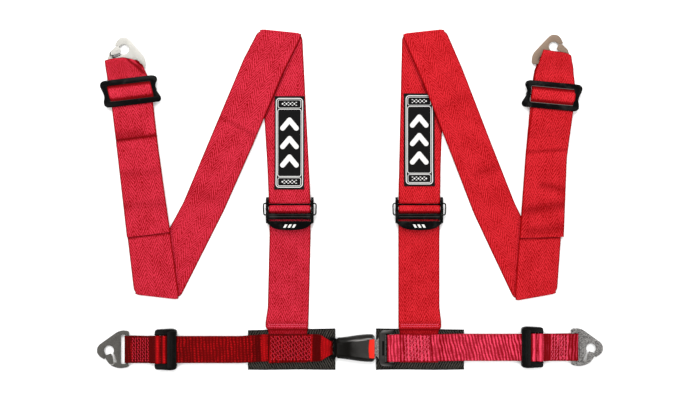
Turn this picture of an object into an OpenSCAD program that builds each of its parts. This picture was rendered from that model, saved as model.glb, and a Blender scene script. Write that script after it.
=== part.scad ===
// Four-point racing harness, laid out flat with its buckle fastened.
// +X runs along the lap belt, +Y towards the shoulder hooks, +Z up.
// The origin is on the resting surface, at the middle of the harness.

/* [Webbing] */
// Thickness of every webbing strap
webbing_t = 1.6; // [1.2:0.1:2]
// Width of the shoulder straps
shoulder_w = 76; // [70:1:77]
// Width of the lap straps
lap_w = 50; // [45:1:51]
// Thickness of the pads behind the lap straps
pad_t = 2.4; // [1.5:0.1:2.4]
// Thickness of the label patches
label_t = 1; // [0.6:0.1:1.4]

/* [Snap hooks] */
// Thickness of the pressed steel plate
plate_t = 3; // [2.5:0.1:3]
// Radius of the eye that snaps onto the eye bolt
eye_r = 9.2; // [8:0.1:9.2]
// Distance from the webbing's bend line to the plate's tip
hook_reach = 65.5; // [62:0.5:70]
// Thickness of the spring gate's leaf
gate_t = 1; // [0.8:0.1:1.2]

/* [Buckle and tongue] */
// Thickness of the whole buckle
buckle_h = 19; // [18.5:0.5:24]
// Wall thickness of the two buckle covers
cover_t = 2; // [1.5:0.1:2]
// Width of the tongue's blade
blade_w = 30; // [24:1:32]
// Thickness of the tongue's plate
tongue_t = 2.6; // [2:0.1:2.8]
// How far the button goes in
button_travel = 4; // [2:0.5:4]

/* [Sliding adjusters] */
// Length of the lap slides along the webbing
lap_slide_l = 41; // [38:1:44]
// Width of the lap slides across the webbing
lap_slide_w = 73; // [68:1:76]
// Length of the shoulder slides along the webbing
shoulder_slide_l = 49; // [46:1:52]
// Width of the shoulder slides across the webbing
shoulder_slide_w = 106; // [102:1:110]

/* [Tilt-lock adjusters] */
// Distance between the outer faces of the side plates
adjuster_w = 86; // [84:1:90]
// Radius of the bar that the upper strap is sewn round
top_bar_r = 2.2; // [1.8:0.1:2.2]
// Radius of the slip bar that grips the lower strap
slip_bar_r = 3.6; // [3:0.1:3.6]
// How far the slip bar floats in its slots
slip_travel = 2.5; // [1:0.5:2.5]

/* [Hidden] */

red = [0.76, 0.1, 0.14];
dark_red = [0.6, 0.06, 0.08];
black = [0.1, 0.1, 0.1];
steel = [0.72, 0.71, 0.69];
pad_black = [0.16, 0.15, 0.14];
button_red = [0.95, 0.16, 0.11];

// Both halves are drawn as the left one. The right half's own sizes come second in each
// pair below, and the right half is mirrored into place.
left = 0;
right = 1;

// The gap left between pieces that lie on each other or move past each other.
gap = 0.3;
half_t = webbing_t / 2;

// Half the length of the whole harness along Y, which the origin is in the middle of.
half_length = 314;

// Snap hooks, in their own frame: +X from the webbing's bend line to the tip.
lap_bend_x = -400;
lap_hook_y = [-276, -272];
shoulder_hook_at = [[-409, 233], [-366.7, 238.2]];
shoulder_hook_lean = [6, 8];
bend_gap = 3;
bar_start = 5.5;
slot_start = 12.5;
slot_end = 21.8;
slot_w = 54;
eye = [43.5, -2.3];
gate_pivot = [37, -26.5];
rivet_r = 2;
rivet_head_r = 3.2;
wire_r = 0.5;
plate_z = webbing_t + gap;
loop_h = 2 * plate_z + plate_t;
loop_top_z = loop_h - half_t;
gate_z = plate_z + plate_t + 0.2;

// Lap straps: middle heights at the slides and over the pads, and the loop at the buckle or
// tongue, as the middle of its turn, its radius, its half width, and how far it runs level.
buckle_y = -273;
lap_z = 6.2;
lap_pad_z = 7;
lap_lower_z = [4, 5.2];
lap_sewn_x = -148;
lap_end_x = [-35, -71.3];
lap_end_z = [5.5, 8.3];
lap_end_r = [2.1, 2.4];
lap_end_half_w = [12.5, 25];
lap_end_level = 9.5;
lap_slide_x = [-339, -335.5];
lap_bar_h = 2.6;
lap_top_bar_w = 17;
lap_slide_h = 9.4;

pad_x = [[-188, -27], [-210, -48]];
pad_w = 76;

// Shoulder straps: the lines they fold on, each as its outer end and its inner end.
top_fold = [[[-168, 311.8], [-88, 303.5]], [[-176, 311.8], [-96, 303]]];
bottom_fold = [[[-397, -173], [-314, -182.5]], [[-381, -171], [-303, -185]]];
// Edges of the crossing stretch near its top, where it leaves the inner leg, and half way.
crossing = [
    [[[-196, 258], [-124, 230]], [[-257, 113], [-180, 97]], [[-307, -5], [-233, -22]]],
    [[[-207, 240], [-135, 212]], [[-256, 113], [-184, 88]], [[-303, -5], [-229, -28]]],
];
tail_end = [[[-410, -70], [-330, -60]], [[-395, -70], [-317, -77]]];
crossing_z = 3.7;
main_z = 4.1;
tail_z = 5.9;
hook_end_half_w = 31;

// Shoulder slides: middle, the strap's lean, and how far the strap runs straight each way.
shoulder_slide_at = [[-403, 198], [-371, 190]];
shoulder_lean = [6.8, 5.3];
straight_up = 10;
straight_down = -110;
slide_window = [82, 29];
slide_frame_z = 7;
slide_frame_t = 2.5;
slide_bar_r = 1.3;
slide_bar_z = 1.5;

// Tilt-lock adjusters, measured from the middle of the top bar.
adjuster_at = [[-110.4, -4], [-127, -4]];
adjuster_z = 7;
side_t = 2;
slip_y = -13.2;
slip_z = 1;
slip_end_r = 2;
slot_clear = 0.2;
loop_r = top_bar_r + gap;
wrap_r = slip_bar_r + gap;
wrap_end_y = -52;
frame_bar = [-33, -22];
lip_top_y = -36;

// Lower shoulder straps: the end by the adjuster, the folded hem and the tab under the lap strap.
lower_end_y = -62;
lower_hem_x = [-114.5, -127];
hem_y = -236;
tab_end_y = -300;
tab_w = 71;

label_x = [[-139, -84], [-156, -99]];
label_y = [[18, 190], [24, 195]];

// Buckle: x of its two ends, and its width there.
buckle_x = [-26, 45];
buckle_w = [40, 49.5];
cover_split_z = 8.5;
frame_z = 4.5;
frame_t = 2;
frame_half_w = 17;
bracket_x = -38.6;
bracket_half_w = 19.5;
bracket_slot = [-34.8, -29.6];
blade_z = frame_z + frame_t + 0.5;
blade_tip_x = 5;
blade_end_x = 52;
tongue_end_x = 80;
tongue_half_w = 31;
tongue_slot = [66, 71.5];
latch_x = -6;
latch_z = 12.3;
latch_pin_r = 1.5;
latch_barrel_r = 2.4;
latch_half_w = 8;
latch_end_x = 20;
ear_half_w = 15.5;
ejector_x = [-9, 4.6];
spring_seat_x = -22.5;
button_x = [latch_end_x + button_travel + 2, 44.5];
button_z = 11;
button_top = 16.6;
button_half_w = 17.5;
button_spring_y = 12;
spring_rib_x = [6, 7.8];

// ---- Helpers ----

function mix(a, b, t) = a + (b - a) * t;
function smooth(t) = let (u = min(1, max(0, t))) u * u * (3 - 2 * u);
function unit(v) = v / norm(v);

// A place beside a leaning strap: across it and along it, from a given middle.
function beside(at, lean, across, along) =
    [at[0] + across * cos(lean) - along * sin(lean),
     at[1] + across * sin(lean) + along * cos(lean)];

// A cross-section of a strap: its two edges, its middle height, and where its outer face looks.
function flat(a, b, z, face) = [a, b, z, [0, 0, face]];

// The cross-sections of a half-turn on the line from a to b, from height z0 up to z1.
function fold(a, b, out, z0, z1, face, steps = 8) =
    let (r = (z1 - z0) / 2)
    [for (i = [0:steps])
        let (turn = -90 + 180 * i / steps)
        [a + out * r * cos(turn), b + out * r * cos(turn), (z0 + z1) / 2 + r * sin(turn),
         face * [out[0] * cos(turn), out[1] * cos(turn), sin(turn)]]];

function corner(s, edge, side, t) =
    [s[edge][0], s[edge][1], s[2]] + s[3] * (side * t / 2);

// A strap of one thickness through a list of cross-sections.
module strap(sections, t = webbing_t) {
    points = [for (s = sections)
        each [corner(s, 0, 1, t), corner(s, 1, 1, t), corner(s, 1, -1, t), corner(s, 0, -1, t)]];
    last = 4 * (len(sections) - 1);
    sides = [for (i = [0:len(sections) - 2], k = [0:3])
        let (a = 4 * i + k, b = 4 * i + (k + 1) % 4)
        each [[a, b, b + 4], [a, b + 4, a + 4]]];
    polyhedron(points, concat([[3, 2, 1, 0], [last, last + 1, last + 2, last + 3]], sides));
}

// A round wire wound into a spring along +X.
module coil_spring(length, r, turns) {
    wire = 0.35;
    sides = 6;
    per_turn = 12;
    rings = turns * per_turn;
    points = [for (i = [0:rings], k = [0:sides - 1])
        let (turn = 360 * i / per_turn, around = 360 * k / sides, out = r + wire * cos(around))
        [wire + (length - 2 * wire) * i / rings + wire * sin(around),
         out * cos(turn), out * sin(turn)]];
    last = sides * rings;
    skin = [for (i = [0:rings - 1], k = [0:sides - 1])
        let (a = sides * i + k, b = sides * i + (k + 1) % sides)
        each [[a, b, b + sides], [a, b + sides, a + sides]]];
    start = [for (k = [sides - 1:-1:0]) k];
    end = [for (k = [0:sides - 1]) last + k];
    polyhedron(points, concat([start, end], skin));
}

// A rod between two points.
module rod(a, b, r) {
    d = b - a;
    translate(a)
        rotate([0, acos(d[2] / norm(d)), atan2(d[1], d[0])])
            cylinder(h = norm(d), r = r, $fn = 24);
}

// A bar lying across a strap, along X.
module cross_bar(y, z, r, length) {
    translate([-length / 2, y, z]) rotate([0, 90, 0]) cylinder(h = length, r = r, $fn = 48);
}

// A profile drawn in Y and Z, pushed out along X to each side of the middle.
module profile_along_x(width) {
    rotate([90, 0, 90]) linear_extrude(width, center = true) children();
}

// A profile drawn in X and Z, pushed out along Y to each side of the middle.
module profile_along_y(width) {
    rotate([90, 0, 0]) linear_extrude(width, center = true) children();
}

module on_side(side) {
    if (side == left) children();
    else mirror([1, 0, 0]) children();
}

// ---- Lap straps and pads ----

// Edges of the lap strap at x, where its middle is at y.
function lap_section(x, y, half_w, z, face) = flat([x, y + half_w], [x, y - half_w], z, face);

module lap_webbing(side) {
    half_w = lap_w / 2;
    hook_y = lap_hook_y[side];
    end_x = lap_end_x[side];
    end_half_w = lap_end_half_w[side];
    r = lap_end_r[side];
    low = lap_end_z[side] - r;
    high = lap_end_z[side] + r;
    sewn_z = lap_lower_z[1];
    hook_x = lap_bend_x + bend_gap;
    color(side == left ? dark_red : red) on_side(side) {
        strap(concat(
            [lap_section(lap_sewn_x, buckle_y, half_w, sewn_z, -1),
             lap_section(end_x - 33, buckle_y, half_w, sewn_z, -1),
             lap_section(end_x - 20, buckle_y, half_w, mix(sewn_z, low, 0.4), -1)],
            fold([end_x, buckle_y + end_half_w], [end_x, buckle_y - end_half_w],
                 [1, 0], low, high, 1),
            [lap_section(end_x - lap_end_level, buckle_y, mix(end_half_w, half_w, 0.6), high, 1),
             lap_section(end_x - 20, buckle_y, half_w, mix(lap_pad_z, high, 0.6), 1),
             lap_section(end_x - 33, buckle_y, half_w, lap_pad_z, 1),
             lap_section(-160, buckle_y, half_w, lap_pad_z, 1),
             lap_section(-200, hook_y, half_w, lap_z, 1),
             lap_section(-375, hook_y, half_w, lap_z, 1),
             lap_section(hook_x, hook_y, half_w, loop_top_z, 1)]));
        // The end that comes back from the hook, under the strap.
        strap([lap_section(hook_x, hook_y, half_w, half_t, -1),
               lap_section(-375, hook_y, half_w, lap_lower_z[0], -1),
               lap_section(-345, hook_y, half_w, lap_lower_z[0], -1)]);
    }
}

module lap_pad(side) {
    x = pad_x[side];
    color(pad_black) on_side(side)
        translate([x[0], -half_length, 0]) cube([x[1] - x[0], pad_w, pad_t]);
}

// ---- Shoulder straps ----

// Height of the inner leg's middle: up on the adjuster's top bar, then down to the surface.
function leg_z(y) =
    mix(adjuster_z + loop_r + half_t, half_t, smooth((y - adjuster_at[0][1]) / 74));

// Edges of the inner leg at y, between the adjuster and the top fold.
function leg_section(side, y, z, face) =
    let (half_w = shoulder_w / 2, at = adjuster_at[side], top = top_fold[side])
    flat([mix(at[0] + half_w, top[1][0], (y - at[1]) / (top[1][1] - at[1])), y],
         [mix(at[0] - half_w, top[0][0], (y - at[1]) / (top[0][1] - at[1])), y], z, face);

function straight_section(side, along, z, face) =
    let (half_w = shoulder_w / 2, at = shoulder_slide_at[side], lean = shoulder_lean[side])
    flat(beside(at, lean, half_w, along), beside(at, lean, -half_w, along), z, face);

function hook_end_section(side, z, face) =
    let (at = shoulder_hook_at[side], lean = shoulder_hook_lean[side])
    flat(beside(at, lean, hook_end_half_w, -bend_gap),
         beside(at, lean, -hook_end_half_w, -bend_gap), z, face);

module upper_shoulder_webbing(side) {
    top = top_fold[side];
    bottom = bottom_fold[side];
    at = adjuster_at[side];
    half_w = shoulder_w / 2;
    turn_r = loop_r + half_t;
    top_out = unit([top[0][1] - top[1][1], top[1][0] - top[0][0]]);
    bottom_out = -unit([bottom[0][1] - bottom[1][1], bottom[1][0] - bottom[0][0]]);
    color(red) on_side(side) {
        strap(concat(
            [leg_section(side, 38, half_t, -1), leg_section(side, 25, half_t, -1)],
            fold([at[0] + half_w, at[1]], [at[0] - half_w, at[1]], [0, -1],
                 adjuster_z - turn_r, adjuster_z + turn_r, 1),
            [for (y = [6:12:78]) leg_section(side, y, leg_z(y), 1)],
            fold(top[1], top[0], top_out, half_t, crossing_z, -1),
            [for (i = [0:2])
                flat(crossing[side][i][1], crossing[side][i][0], i < 2 ? crossing_z : half_t, -1)],
            fold(bottom[1], bottom[0], bottom_out, half_t, main_z, 1),
            [straight_section(side, straight_down, main_z, 1),
             straight_section(side, straight_up, main_z, 1),
             hook_end_section(side, half_t, 1)]));
        // The free end that comes back from the hook, over the strap.
        strap([hook_end_section(side, loop_top_z, -1),
               straight_section(side, straight_up, tail_z, -1),
               straight_section(side, straight_down, tail_z, -1),
               flat(tail_end[side][1], tail_end[side][0], tail_z, -1)]);
    }
}

module lower_shoulder_webbing(side) {
    half_w = shoulder_w / 2;
    x0 = adjuster_at[side][0];
    x1 = lower_hem_x[side];
    tab_z = pad_t + 0.2 + half_t;
    color(red) on_side(side)
        strap([for (s = [[lower_end_y, x0, half_w, half_t], [-200, mix(x0, x1, 0.8), half_w, half_t],
                         [hem_y, x1, half_w, tab_z], [hem_y - 2, x1, tab_w / 2, tab_z],
                         [tab_end_y, x1, tab_w / 2, tab_z]])
            flat([s[1] + s[2], s[0]], [s[1] - s[2], s[0]], s[3], -1)]);
}

module label_patch(side) {
    x = label_x[side];
    y = label_y[side];
    lift = half_t + 0.1 + label_t / 2;
    color(black) on_side(side)
        strap([for (v = concat([y[0]], [for (v = [30:12:78]) v], [y[1]]))
            flat([x[1], v], [x[0], v], leg_z(v) + lift, 1)], label_t);
}

// ---- Snap hooks ----

module at_hook(name) {
    side = name[0];
    on_side(side)
        if (name[1] == "lap")
            translate([lap_bend_x, lap_hook_y[side], 0]) mirror([1, 0, 0]) children();
        else
            translate([each shoulder_hook_at[side], 0])
                rotate(90 + shoulder_hook_lean[side]) mirror([0, 1, 0]) children();
}

// The pressed plate: a wide slotted end for the webbing, an eye, and the throat into the eye.
module hook_plate() {
    color(steel) translate([0, 0, plate_z]) difference() {
        linear_extrude(plate_t)
            polygon([[bar_start, -29], [9, -33], [21, -35], [30, -34], [38.5, -30], [44, -24.5],
                     [52, -17], [61, -12.5], [hook_reach, -6.5], [hook_reach, 2.5], [61.5, 8.5],
                     [28.5, 32], [21, 34.5], [9, 34], [bar_start, 30]]);
        translate([slot_start, -slot_w / 2, -1])
            cube([slot_end - slot_start, slot_w, plate_t + 2]);
        translate([0, 0, -1]) linear_extrude(plate_t + 2)
            polygon([[50, -7.5], [50.4, -19.5], [43.5, -26.5], [40.5, -24], [36, -22.5],
                     [32, -25.5], [29.5, -22.5], [35.5, -13], [38.6, -7.5]]);
        translate([each eye, -1]) cylinder(h = plate_t + 2, r = eye_r, $fn = 96);
        translate([each gate_pivot, -1]) cylinder(h = plate_t + 2, r = rivet_r, $fn = 48);
    }
}

// The webbing sewn round the hook's bar.
module hook_loop() {
    r = loop_h / 2;
    color(red) profile_along_y(lap_w) difference() {
        union() {
            translate([bend_gap, 0]) square([slot_start - 1 - bend_gap, loop_h]);
            translate([slot_start - 1, r]) circle(r, $fn = 64);
        }
        translate([0, webbing_t]) square([slot_start + 0.5, loop_h - 2 * webbing_t]);
    }
}

// The sprung leaf that closes the throat, turning on the rivet.
module hook_gate() {
    color(steel) translate([0, 0, gate_z]) difference() {
        linear_extrude(gate_t)
            polygon([[52, -14], [51, -9], [42, -5.5], [37.5, -9], [35.5, -15], [34, -22],
                     [33.5, -27], [37, -30], [41, -28], [45.5, -23], [50.5, -16]]);
        translate([each eye, -1]) cylinder(h = gate_t + 2, r = eye_r + 0.4, $fn = 96);
        translate([each gate_pivot, -1]) cylinder(h = gate_t + 2, r = rivet_r + 0.08, $fn = 48);
    }
}

module hook_rivet() {
    head_t = 0.8;
    color(steel) translate([each gate_pivot, 0]) {
        translate([0, 0, plate_z - head_t]) {
            cylinder(h = head_t, r = rivet_head_r, $fn = 48);
            cylinder(h = gate_z + gate_t + 0.2 + head_t - plate_z + head_t, r = rivet_r, $fn = 48);
        }
        translate([0, 0, gate_z + gate_t + 0.2]) cylinder(h = head_t, r = rivet_head_r, $fn = 48);
    }
}

// The spring wire that lies in the pocket behind the gate.
module hook_spring() {
    z = plate_z + plate_t / 2;
    color(steel) rod([31.2, -22.6, z], [35.4, -14.6, z], wire_r);
}

// ---- Slides ----

// A moulded three-bar slide: the webbing lies over two of its bars and under the third.
module lap_slide(side) {
    l = lap_slide_l;
    w = lap_slide_w;
    inner_w = lap_w + 2;
    rail_w = (w - inner_w) / 2;
    color(black) on_side(side)
        translate([lap_slide_x[side], lap_hook_y[side], 0]) {
            for (end = [-1, 1])
                translate([-l / 2, end * (inner_w + rail_w) / 2 - rail_w / 2, 0])
                    cube([l, rail_w, lap_slide_h]);
            for (x = [-l / 2, -5])
                translate([x, -w / 2, 0]) cube([x < -10 ? 8 : 10, w, lap_bar_h]);
            translate([l / 2 - lap_top_bar_w, -w / 2, lap_z + half_t + gap])
                cube([lap_top_bar_w, w, lap_slide_h - lap_z - half_t - gap]);
        }
}

module at_shoulder_slide(side) {
    on_side(side)
        translate([each shoulder_slide_at[side], 0]) rotate(shoulder_lean[side]) children();
}

// The pressed frame of a shoulder slide, waisted at both ends, with ears down to the bar.
module shoulder_slide_frame(side) {
    half_w = shoulder_slide_w / 2;
    half_l = shoulder_slide_l / 2;
    ear_x = slide_window[0] / 2 + 1;
    ear_size = [5, 8, slide_frame_z + 1];
    color(black) at_shoulder_slide(side) difference() {
        union() {
            translate([0, 0, slide_frame_z]) linear_extrude(slide_frame_t) difference() {
                polygon([[-half_w, 20], [-half_w + 3, 0], [-half_w, -20], [-half_w + 5, -half_l],
                         [half_w - 5, -half_l], [half_w, -20], [half_w - 3, 0], [half_w, 20],
                         [half_w - 5, half_l], [-half_w + 5, half_l]]);
                square(slide_window, center = true);
            }
            for (end = [-1, 1])
                translate([end * (ear_x + ear_size[0] / 2) - ear_size[0] / 2, -4, 0])
                    cube(ear_size);
        }
        cross_bar(0, slide_bar_z, slide_bar_r, shoulder_slide_w);
    }
}

// The bar under the webbing that the folded strap grips on.
module shoulder_slide_bar(side) {
    color(black) at_shoulder_slide(side)
        cross_bar(0, slide_bar_z, slide_bar_r, slide_window[0] + 12);
}

// ---- Tilt-lock adjusters ----

module at_adjuster(side) {
    on_side(side) translate([each adjuster_at[side], adjuster_z]) children();
}

// A stretched circle: two circles of one radius, joined, in Y and Z.
module racetrack(y0, y1, z, r) {
    translate([y0, z]) circle(r, $fn = 64);
    translate([y1, z]) circle(r, $fn = 64);
    translate([y1, z - r]) square([y0 - y1, 2 * r]);
}

// Two side plates with slots for the slip bar, the fixed bar, and the lip that is pulled up.
module adjuster_frame(side) {
    side_x = (adjuster_w - side_t) / 2;
    inner_w = adjuster_w - 2 * side_t;
    lip_half_w = 38.5;
    color(black) at_adjuster(side) {
        for (end = [-1, 1])
            translate([end * side_x, 0, 0]) profile_along_x(side_t) difference() {
                polygon([[10, -3], [10, 2], [5, 6], [-25, 6], [-40, 4.5], [-40, -3], [-34, -7],
                         [0, -7]]);
                circle(top_bar_r, $fn = 64);
                racetrack(slip_y, slip_y - slip_travel, slip_z, slip_end_r + slot_clear);
            }
        translate([0, 0, 2]) linear_extrude(3)
            translate([-inner_w / 2, frame_bar[0]]) square([inner_w, frame_bar[1] - frame_bar[0]]);
        translate([0, 0, 2.5]) linear_extrude(2)
            polygon([[-inner_w / 2, lip_top_y], [inner_w / 2, lip_top_y], [inner_w / 2, -40],
                     [lip_half_w, -42], [30, -50], [15, -52], [-15, -52], [-30, -50],
                     [-lip_half_w, -42], [-inner_w / 2, -40]]);
    }
}

module adjuster_top_bar(side) {
    color(black) at_adjuster(side) cross_bar(0, 0, top_bar_r, adjuster_w + 1);
}

// The floating bar that pinches the lower strap against the fixed bar.
module adjuster_slip_bar(side) {
    color(steel) at_adjuster(side) {
        cross_bar(slip_y, slip_z, slip_bar_r, adjuster_w - 2 * side_t - 2);
        cross_bar(slip_y, slip_z, slip_end_r, adjuster_w + 3);
    }
}

// The lower strap where it turns round the slip bar and comes back under the fixed bar.
module adjuster_wrap(side) {
    low = slip_z - wrap_r - webbing_t;
    color(dark_red) at_adjuster(side) profile_along_x(shoulder_w) {
        difference() {
            racetrack(slip_y, slip_y - slip_travel, slip_z, wrap_r + webbing_t);
            racetrack(slip_y, slip_y - slip_travel, slip_z, wrap_r);
        }
        translate([wrap_end_y, low]) square([slip_y - slip_travel - wrap_end_y, webbing_t]);
        translate([wrap_end_y, low + webbing_t + gap])
            square([slip_y - slip_travel - wrap_r - wrap_end_y, webbing_t]);
    }
}

// The two wire springs at the sides, which push the slip bar into its grip.
module adjuster_spring(side) {
    z = 3;
    near_x = adjuster_w / 2 + 0.2;
    far_x = near_x + 4.4;
    color(steel) at_adjuster(side)
        for (end = [-1, 1]) {
            rod([end * near_x, -4, z], [end * far_x, -4, z], 0.8);
            rod([end * far_x, -4, z], [end * far_x, -22, z], 0.8);
            rod([end * near_x, -22, z], [end * far_x, -22, z], 0.8);
        }
}

// ---- Buckle ----

module at_buckle() {
    translate([0, buckle_y, 0]) children();
}

// The buckle's outline seen from above, drawn in by an inset.
module buckle_outline(inset) {
    x0 = buckle_x[0] + inset;
    x1 = buckle_x[1] - inset;
    y0 = buckle_w[0] / 2 - inset;
    y1 = buckle_w[1] / 2 - inset;
    cut = 4 - inset;
    polygon([[x0, -y0 + cut], [x0 + cut, -y0], [x1 - cut, -y1], [x1, -y1 + cut],
             [x1, y1 - cut], [x1 - cut, y1], [x0 + cut, y0], [x0, y0 - cut]]);
}

// A box between two x, to half_w each side of the middle, and between two heights.
module block(x, half_w, z0, z1) {
    translate([x[0], -half_w, z0]) cube([x[1] - x[0], 2 * half_w, z1 - z0]);
}

module blade_cut() {
    block([buckle_x[1] - 10, buckle_x[1] + 1], blade_w / 2 + gap, blade_z - gap,
             blade_z + tongue_t + gap);
}

module buckle_bottom_cover() {
    color(black) at_buckle() {
        difference() {
            linear_extrude(cover_split_z) buckle_outline(0);
            translate([0, 0, cover_t]) linear_extrude(cover_split_z) buckle_outline(cover_t);
            block([buckle_x[0] - 1, buckle_x[0] + cover_t + 1], frame_half_w + gap,
                     frame_z - gap, cover_split_z + 1);
            blade_cut();
        }
        // Posts that carry the frame.
        for (x = [-15, 25], y = [-10, 10])
            translate([x, y, 0]) cylinder(h = frame_z, r = 2.5, $fn = 32);
    }
}

module buckle_top_cover() {
    ceiling = buckle_h - cover_t;
    color(black) at_buckle() {
        difference() {
            translate([0, 0, cover_split_z + 0.1])
                linear_extrude(buckle_h - cover_split_z - 0.1) buckle_outline(0);
            translate([0, 0, cover_split_z - 1])
                linear_extrude(ceiling - cover_split_z + 1) buckle_outline(cover_t);
            block([35, buckle_x[1] + 1], button_half_w + gap, button_z - gap, buckle_h + 1);
            blade_cut();
        }
        // The rib that the button's springs push against.
        for (y = [-15.5, 9])
            translate([spring_rib_x[0], y, button_z])
                cube([spring_rib_x[1] - spring_rib_x[0], 6.5, ceiling - button_z]);
    }
}

// The steel frame: a plate with a slotted end for the lap strap, and ears for the latch.
module buckle_frame() {
    color(black) at_buckle() {
        difference() {
            union() {
                translate([0, 0, frame_z]) linear_extrude(frame_t) {
                    translate([buckle_x[0] - gap, -frame_half_w])
                        square([38 - buckle_x[0] + gap, 2 * frame_half_w]);
                    translate([bracket_x, -bracket_half_w])
                        square([buckle_x[0] - gap - bracket_x, 2 * bracket_half_w]);
                }
                for (end = [-1, 1])
                    translate([latch_x - 4, end * (ear_half_w - 1) - 1, frame_z])
                        cube([8, 2, latch_z + 3 - frame_z]);
                block([spring_seat_x - 1.5, spring_seat_x], 3, frame_z, frame_z + 5.5);
            }
            block(bracket_slot, 14, frame_z - 1, frame_z + frame_t + 1);
            translate([latch_x, 0, latch_z]) rotate([90, 0, 0])
                cylinder(h = 40, r = latch_pin_r, center = true, $fn = 48);
        }
    }
}

module buckle_latch_pin() {
    color(steel) at_buckle() translate([latch_x, 0, latch_z]) rotate([90, 0, 0])
        cylinder(h = 2 * ear_half_w, r = latch_pin_r, center = true, $fn = 48);
}

// The pawl that drops into the blade's window.
module buckle_latch() {
    tooth_z = blade_z + tongue_t + gap;
    plate_low = latch_z - 1.7;
    color(steel) at_buckle() difference() {
        union() {
            translate([latch_x, 0, latch_z]) rotate([90, 0, 0])
                cylinder(h = 2 * latch_half_w, r = latch_barrel_r, center = true, $fn = 64);
            block([latch_x, latch_end_x], latch_half_w, plate_low, plate_low + 1.6);
            block([11, 17], 6, tooth_z, plate_low + 0.1);
        }
        translate([latch_x, 0, latch_z]) rotate([90, 0, 0])
            cylinder(h = 40, r = latch_pin_r + 0.08, center = true, $fn = 64);
    }
}

module buckle_latch_spring() {
    low = latch_z + 0.1;
    color(steel) at_buckle()
        translate([13, 0, low]) rotate([0, -90, 0])
            coil_spring(buckle_h - cover_t - 0.2 - low, 2.2, 3);
}

// The slider that pushes the blade out again.
module buckle_ejector() {
    color(black) at_buckle() block(ejector_x, 5, blade_z, blade_z + tongue_t);
}

module buckle_ejector_spring() {
    color(steel) at_buckle()
        translate([spring_seat_x + 0.1, 0, blade_z + tongue_t / 2])
            coil_spring(ejector_x[0] - spring_seat_x - 0.2, 1.3, 7);
}

module buckle_button() {
    size = button_half_w;
    color(button_red) at_buckle() difference() {
        translate([0, 0, button_z]) linear_extrude(button_top - button_z)
            polygon([[button_x[0], -size], [button_x[1] - 1, -size], [button_x[1], -size + 1],
                     [button_x[1], size - 1], [button_x[1] - 1, size], [button_x[0], size]]);
        // Hollow underneath.
        block([button_x[0] + 2, button_x[1] - 2.5], size - 2, button_z - 1, button_top - 2);
    }
}

module buckle_button_springs() {
    start = spring_rib_x[1] + 0.1;
    color(steel) at_buckle()
        for (end = [-1, 1])
            translate([start, end * button_spring_y, (button_z + button_top) / 2])
                coil_spring(button_x[0] - 0.1 - start, 1.9, 6);
}

// ---- Tongue ----

module tongue_plate() {
    half_b = blade_w / 2;
    color(steel) at_buckle() difference() {
        translate([0, 0, blade_z]) linear_extrude(tongue_t)
            polygon([[blade_tip_x, -half_b + 4], [blade_tip_x + 4, -half_b],
                     [blade_end_x, -half_b], [55, -tongue_half_w], [76, -tongue_half_w],
                     [tongue_end_x, -27], [tongue_end_x, 27], [76, tongue_half_w],
                     [55, tongue_half_w], [blade_end_x, half_b], [blade_tip_x + 4, half_b],
                     [blade_tip_x, half_b - 4]]);
        block([10, 18], 7, blade_z - 1, blade_z + tongue_t + 1);
        block(tongue_slot, 27, blade_z - 1, blade_z + tongue_t + 1);
    }
}

// The moulded cover over the tongue's wide end.
module tongue_cover() {
    half_w = 33;
    z0 = blade_z - 2.2;
    z1 = blade_z + tongue_t + 2.2;
    color(black) at_buckle() difference() {
        union() {
            block([53, tongue_slot[0] - 0.6], half_w, z0, z1);
            for (end = [-1, 1])
                translate([60, end * (half_w - 2.4) - 2.4, z0]) cube([15, 4.8, z1 - z0]);
        }
        translate([0, 0, blade_z]) linear_extrude(tongue_t)
            polygon([[40, -blade_w / 2], [blade_end_x, -blade_w / 2], [55, -tongue_half_w],
                     [80, -tongue_half_w], [80, tongue_half_w], [55, tongue_half_w],
                     [blade_end_x, blade_w / 2], [40, blade_w / 2]]);
    }
}

lap_webbing(left);  // left_lap_webbing
lap_pad(left);  // left_lap_pad
lower_shoulder_webbing(left);  // left_lower_shoulder_webbing
upper_shoulder_webbing(left);  // left_upper_shoulder_webbing
label_patch(left);  // left_label_patch
lap_webbing(right);  // right_lap_webbing
lap_pad(right);  // right_lap_pad
lower_shoulder_webbing(right);  // right_lower_shoulder_webbing
upper_shoulder_webbing(right);  // right_upper_shoulder_webbing
label_patch(right);  // right_label_patch
buckle_bottom_cover();
buckle_top_cover();
buckle_frame();
buckle_latch_pin();
buckle_latch();
buckle_latch_spring();
buckle_ejector();
buckle_ejector_spring();
buckle_button();
buckle_button_springs();
tongue_plate();
tongue_cover();
at_hook([left, "lap"]) hook_plate();  // left_lap_hook_plate
at_hook([left, "lap"]) hook_loop();  // left_lap_hook_loop
at_hook([left, "lap"]) hook_gate();  // left_lap_hook_gate
at_hook([left, "lap"]) hook_rivet();  // left_lap_hook_rivet
at_hook([left, "lap"]) hook_spring();  // left_lap_hook_spring
at_hook([right, "lap"]) hook_plate();  // right_lap_hook_plate
at_hook([right, "lap"]) hook_loop();  // right_lap_hook_loop
at_hook([right, "lap"]) hook_gate();  // right_lap_hook_gate
at_hook([right, "lap"]) hook_rivet();  // right_lap_hook_rivet
at_hook([right, "lap"]) hook_spring();  // right_lap_hook_spring
at_hook([left, "shoulder"]) hook_plate();  // left_shoulder_hook_plate
at_hook([left, "shoulder"]) hook_loop();  // left_shoulder_hook_loop
at_hook([left, "shoulder"]) hook_gate();  // left_shoulder_hook_gate
at_hook([left, "shoulder"]) hook_rivet();  // left_shoulder_hook_rivet
at_hook([left, "shoulder"]) hook_spring();  // left_shoulder_hook_spring
at_hook([right, "shoulder"]) hook_plate();  // right_shoulder_hook_plate
at_hook([right, "shoulder"]) hook_loop();  // right_shoulder_hook_loop
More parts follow.
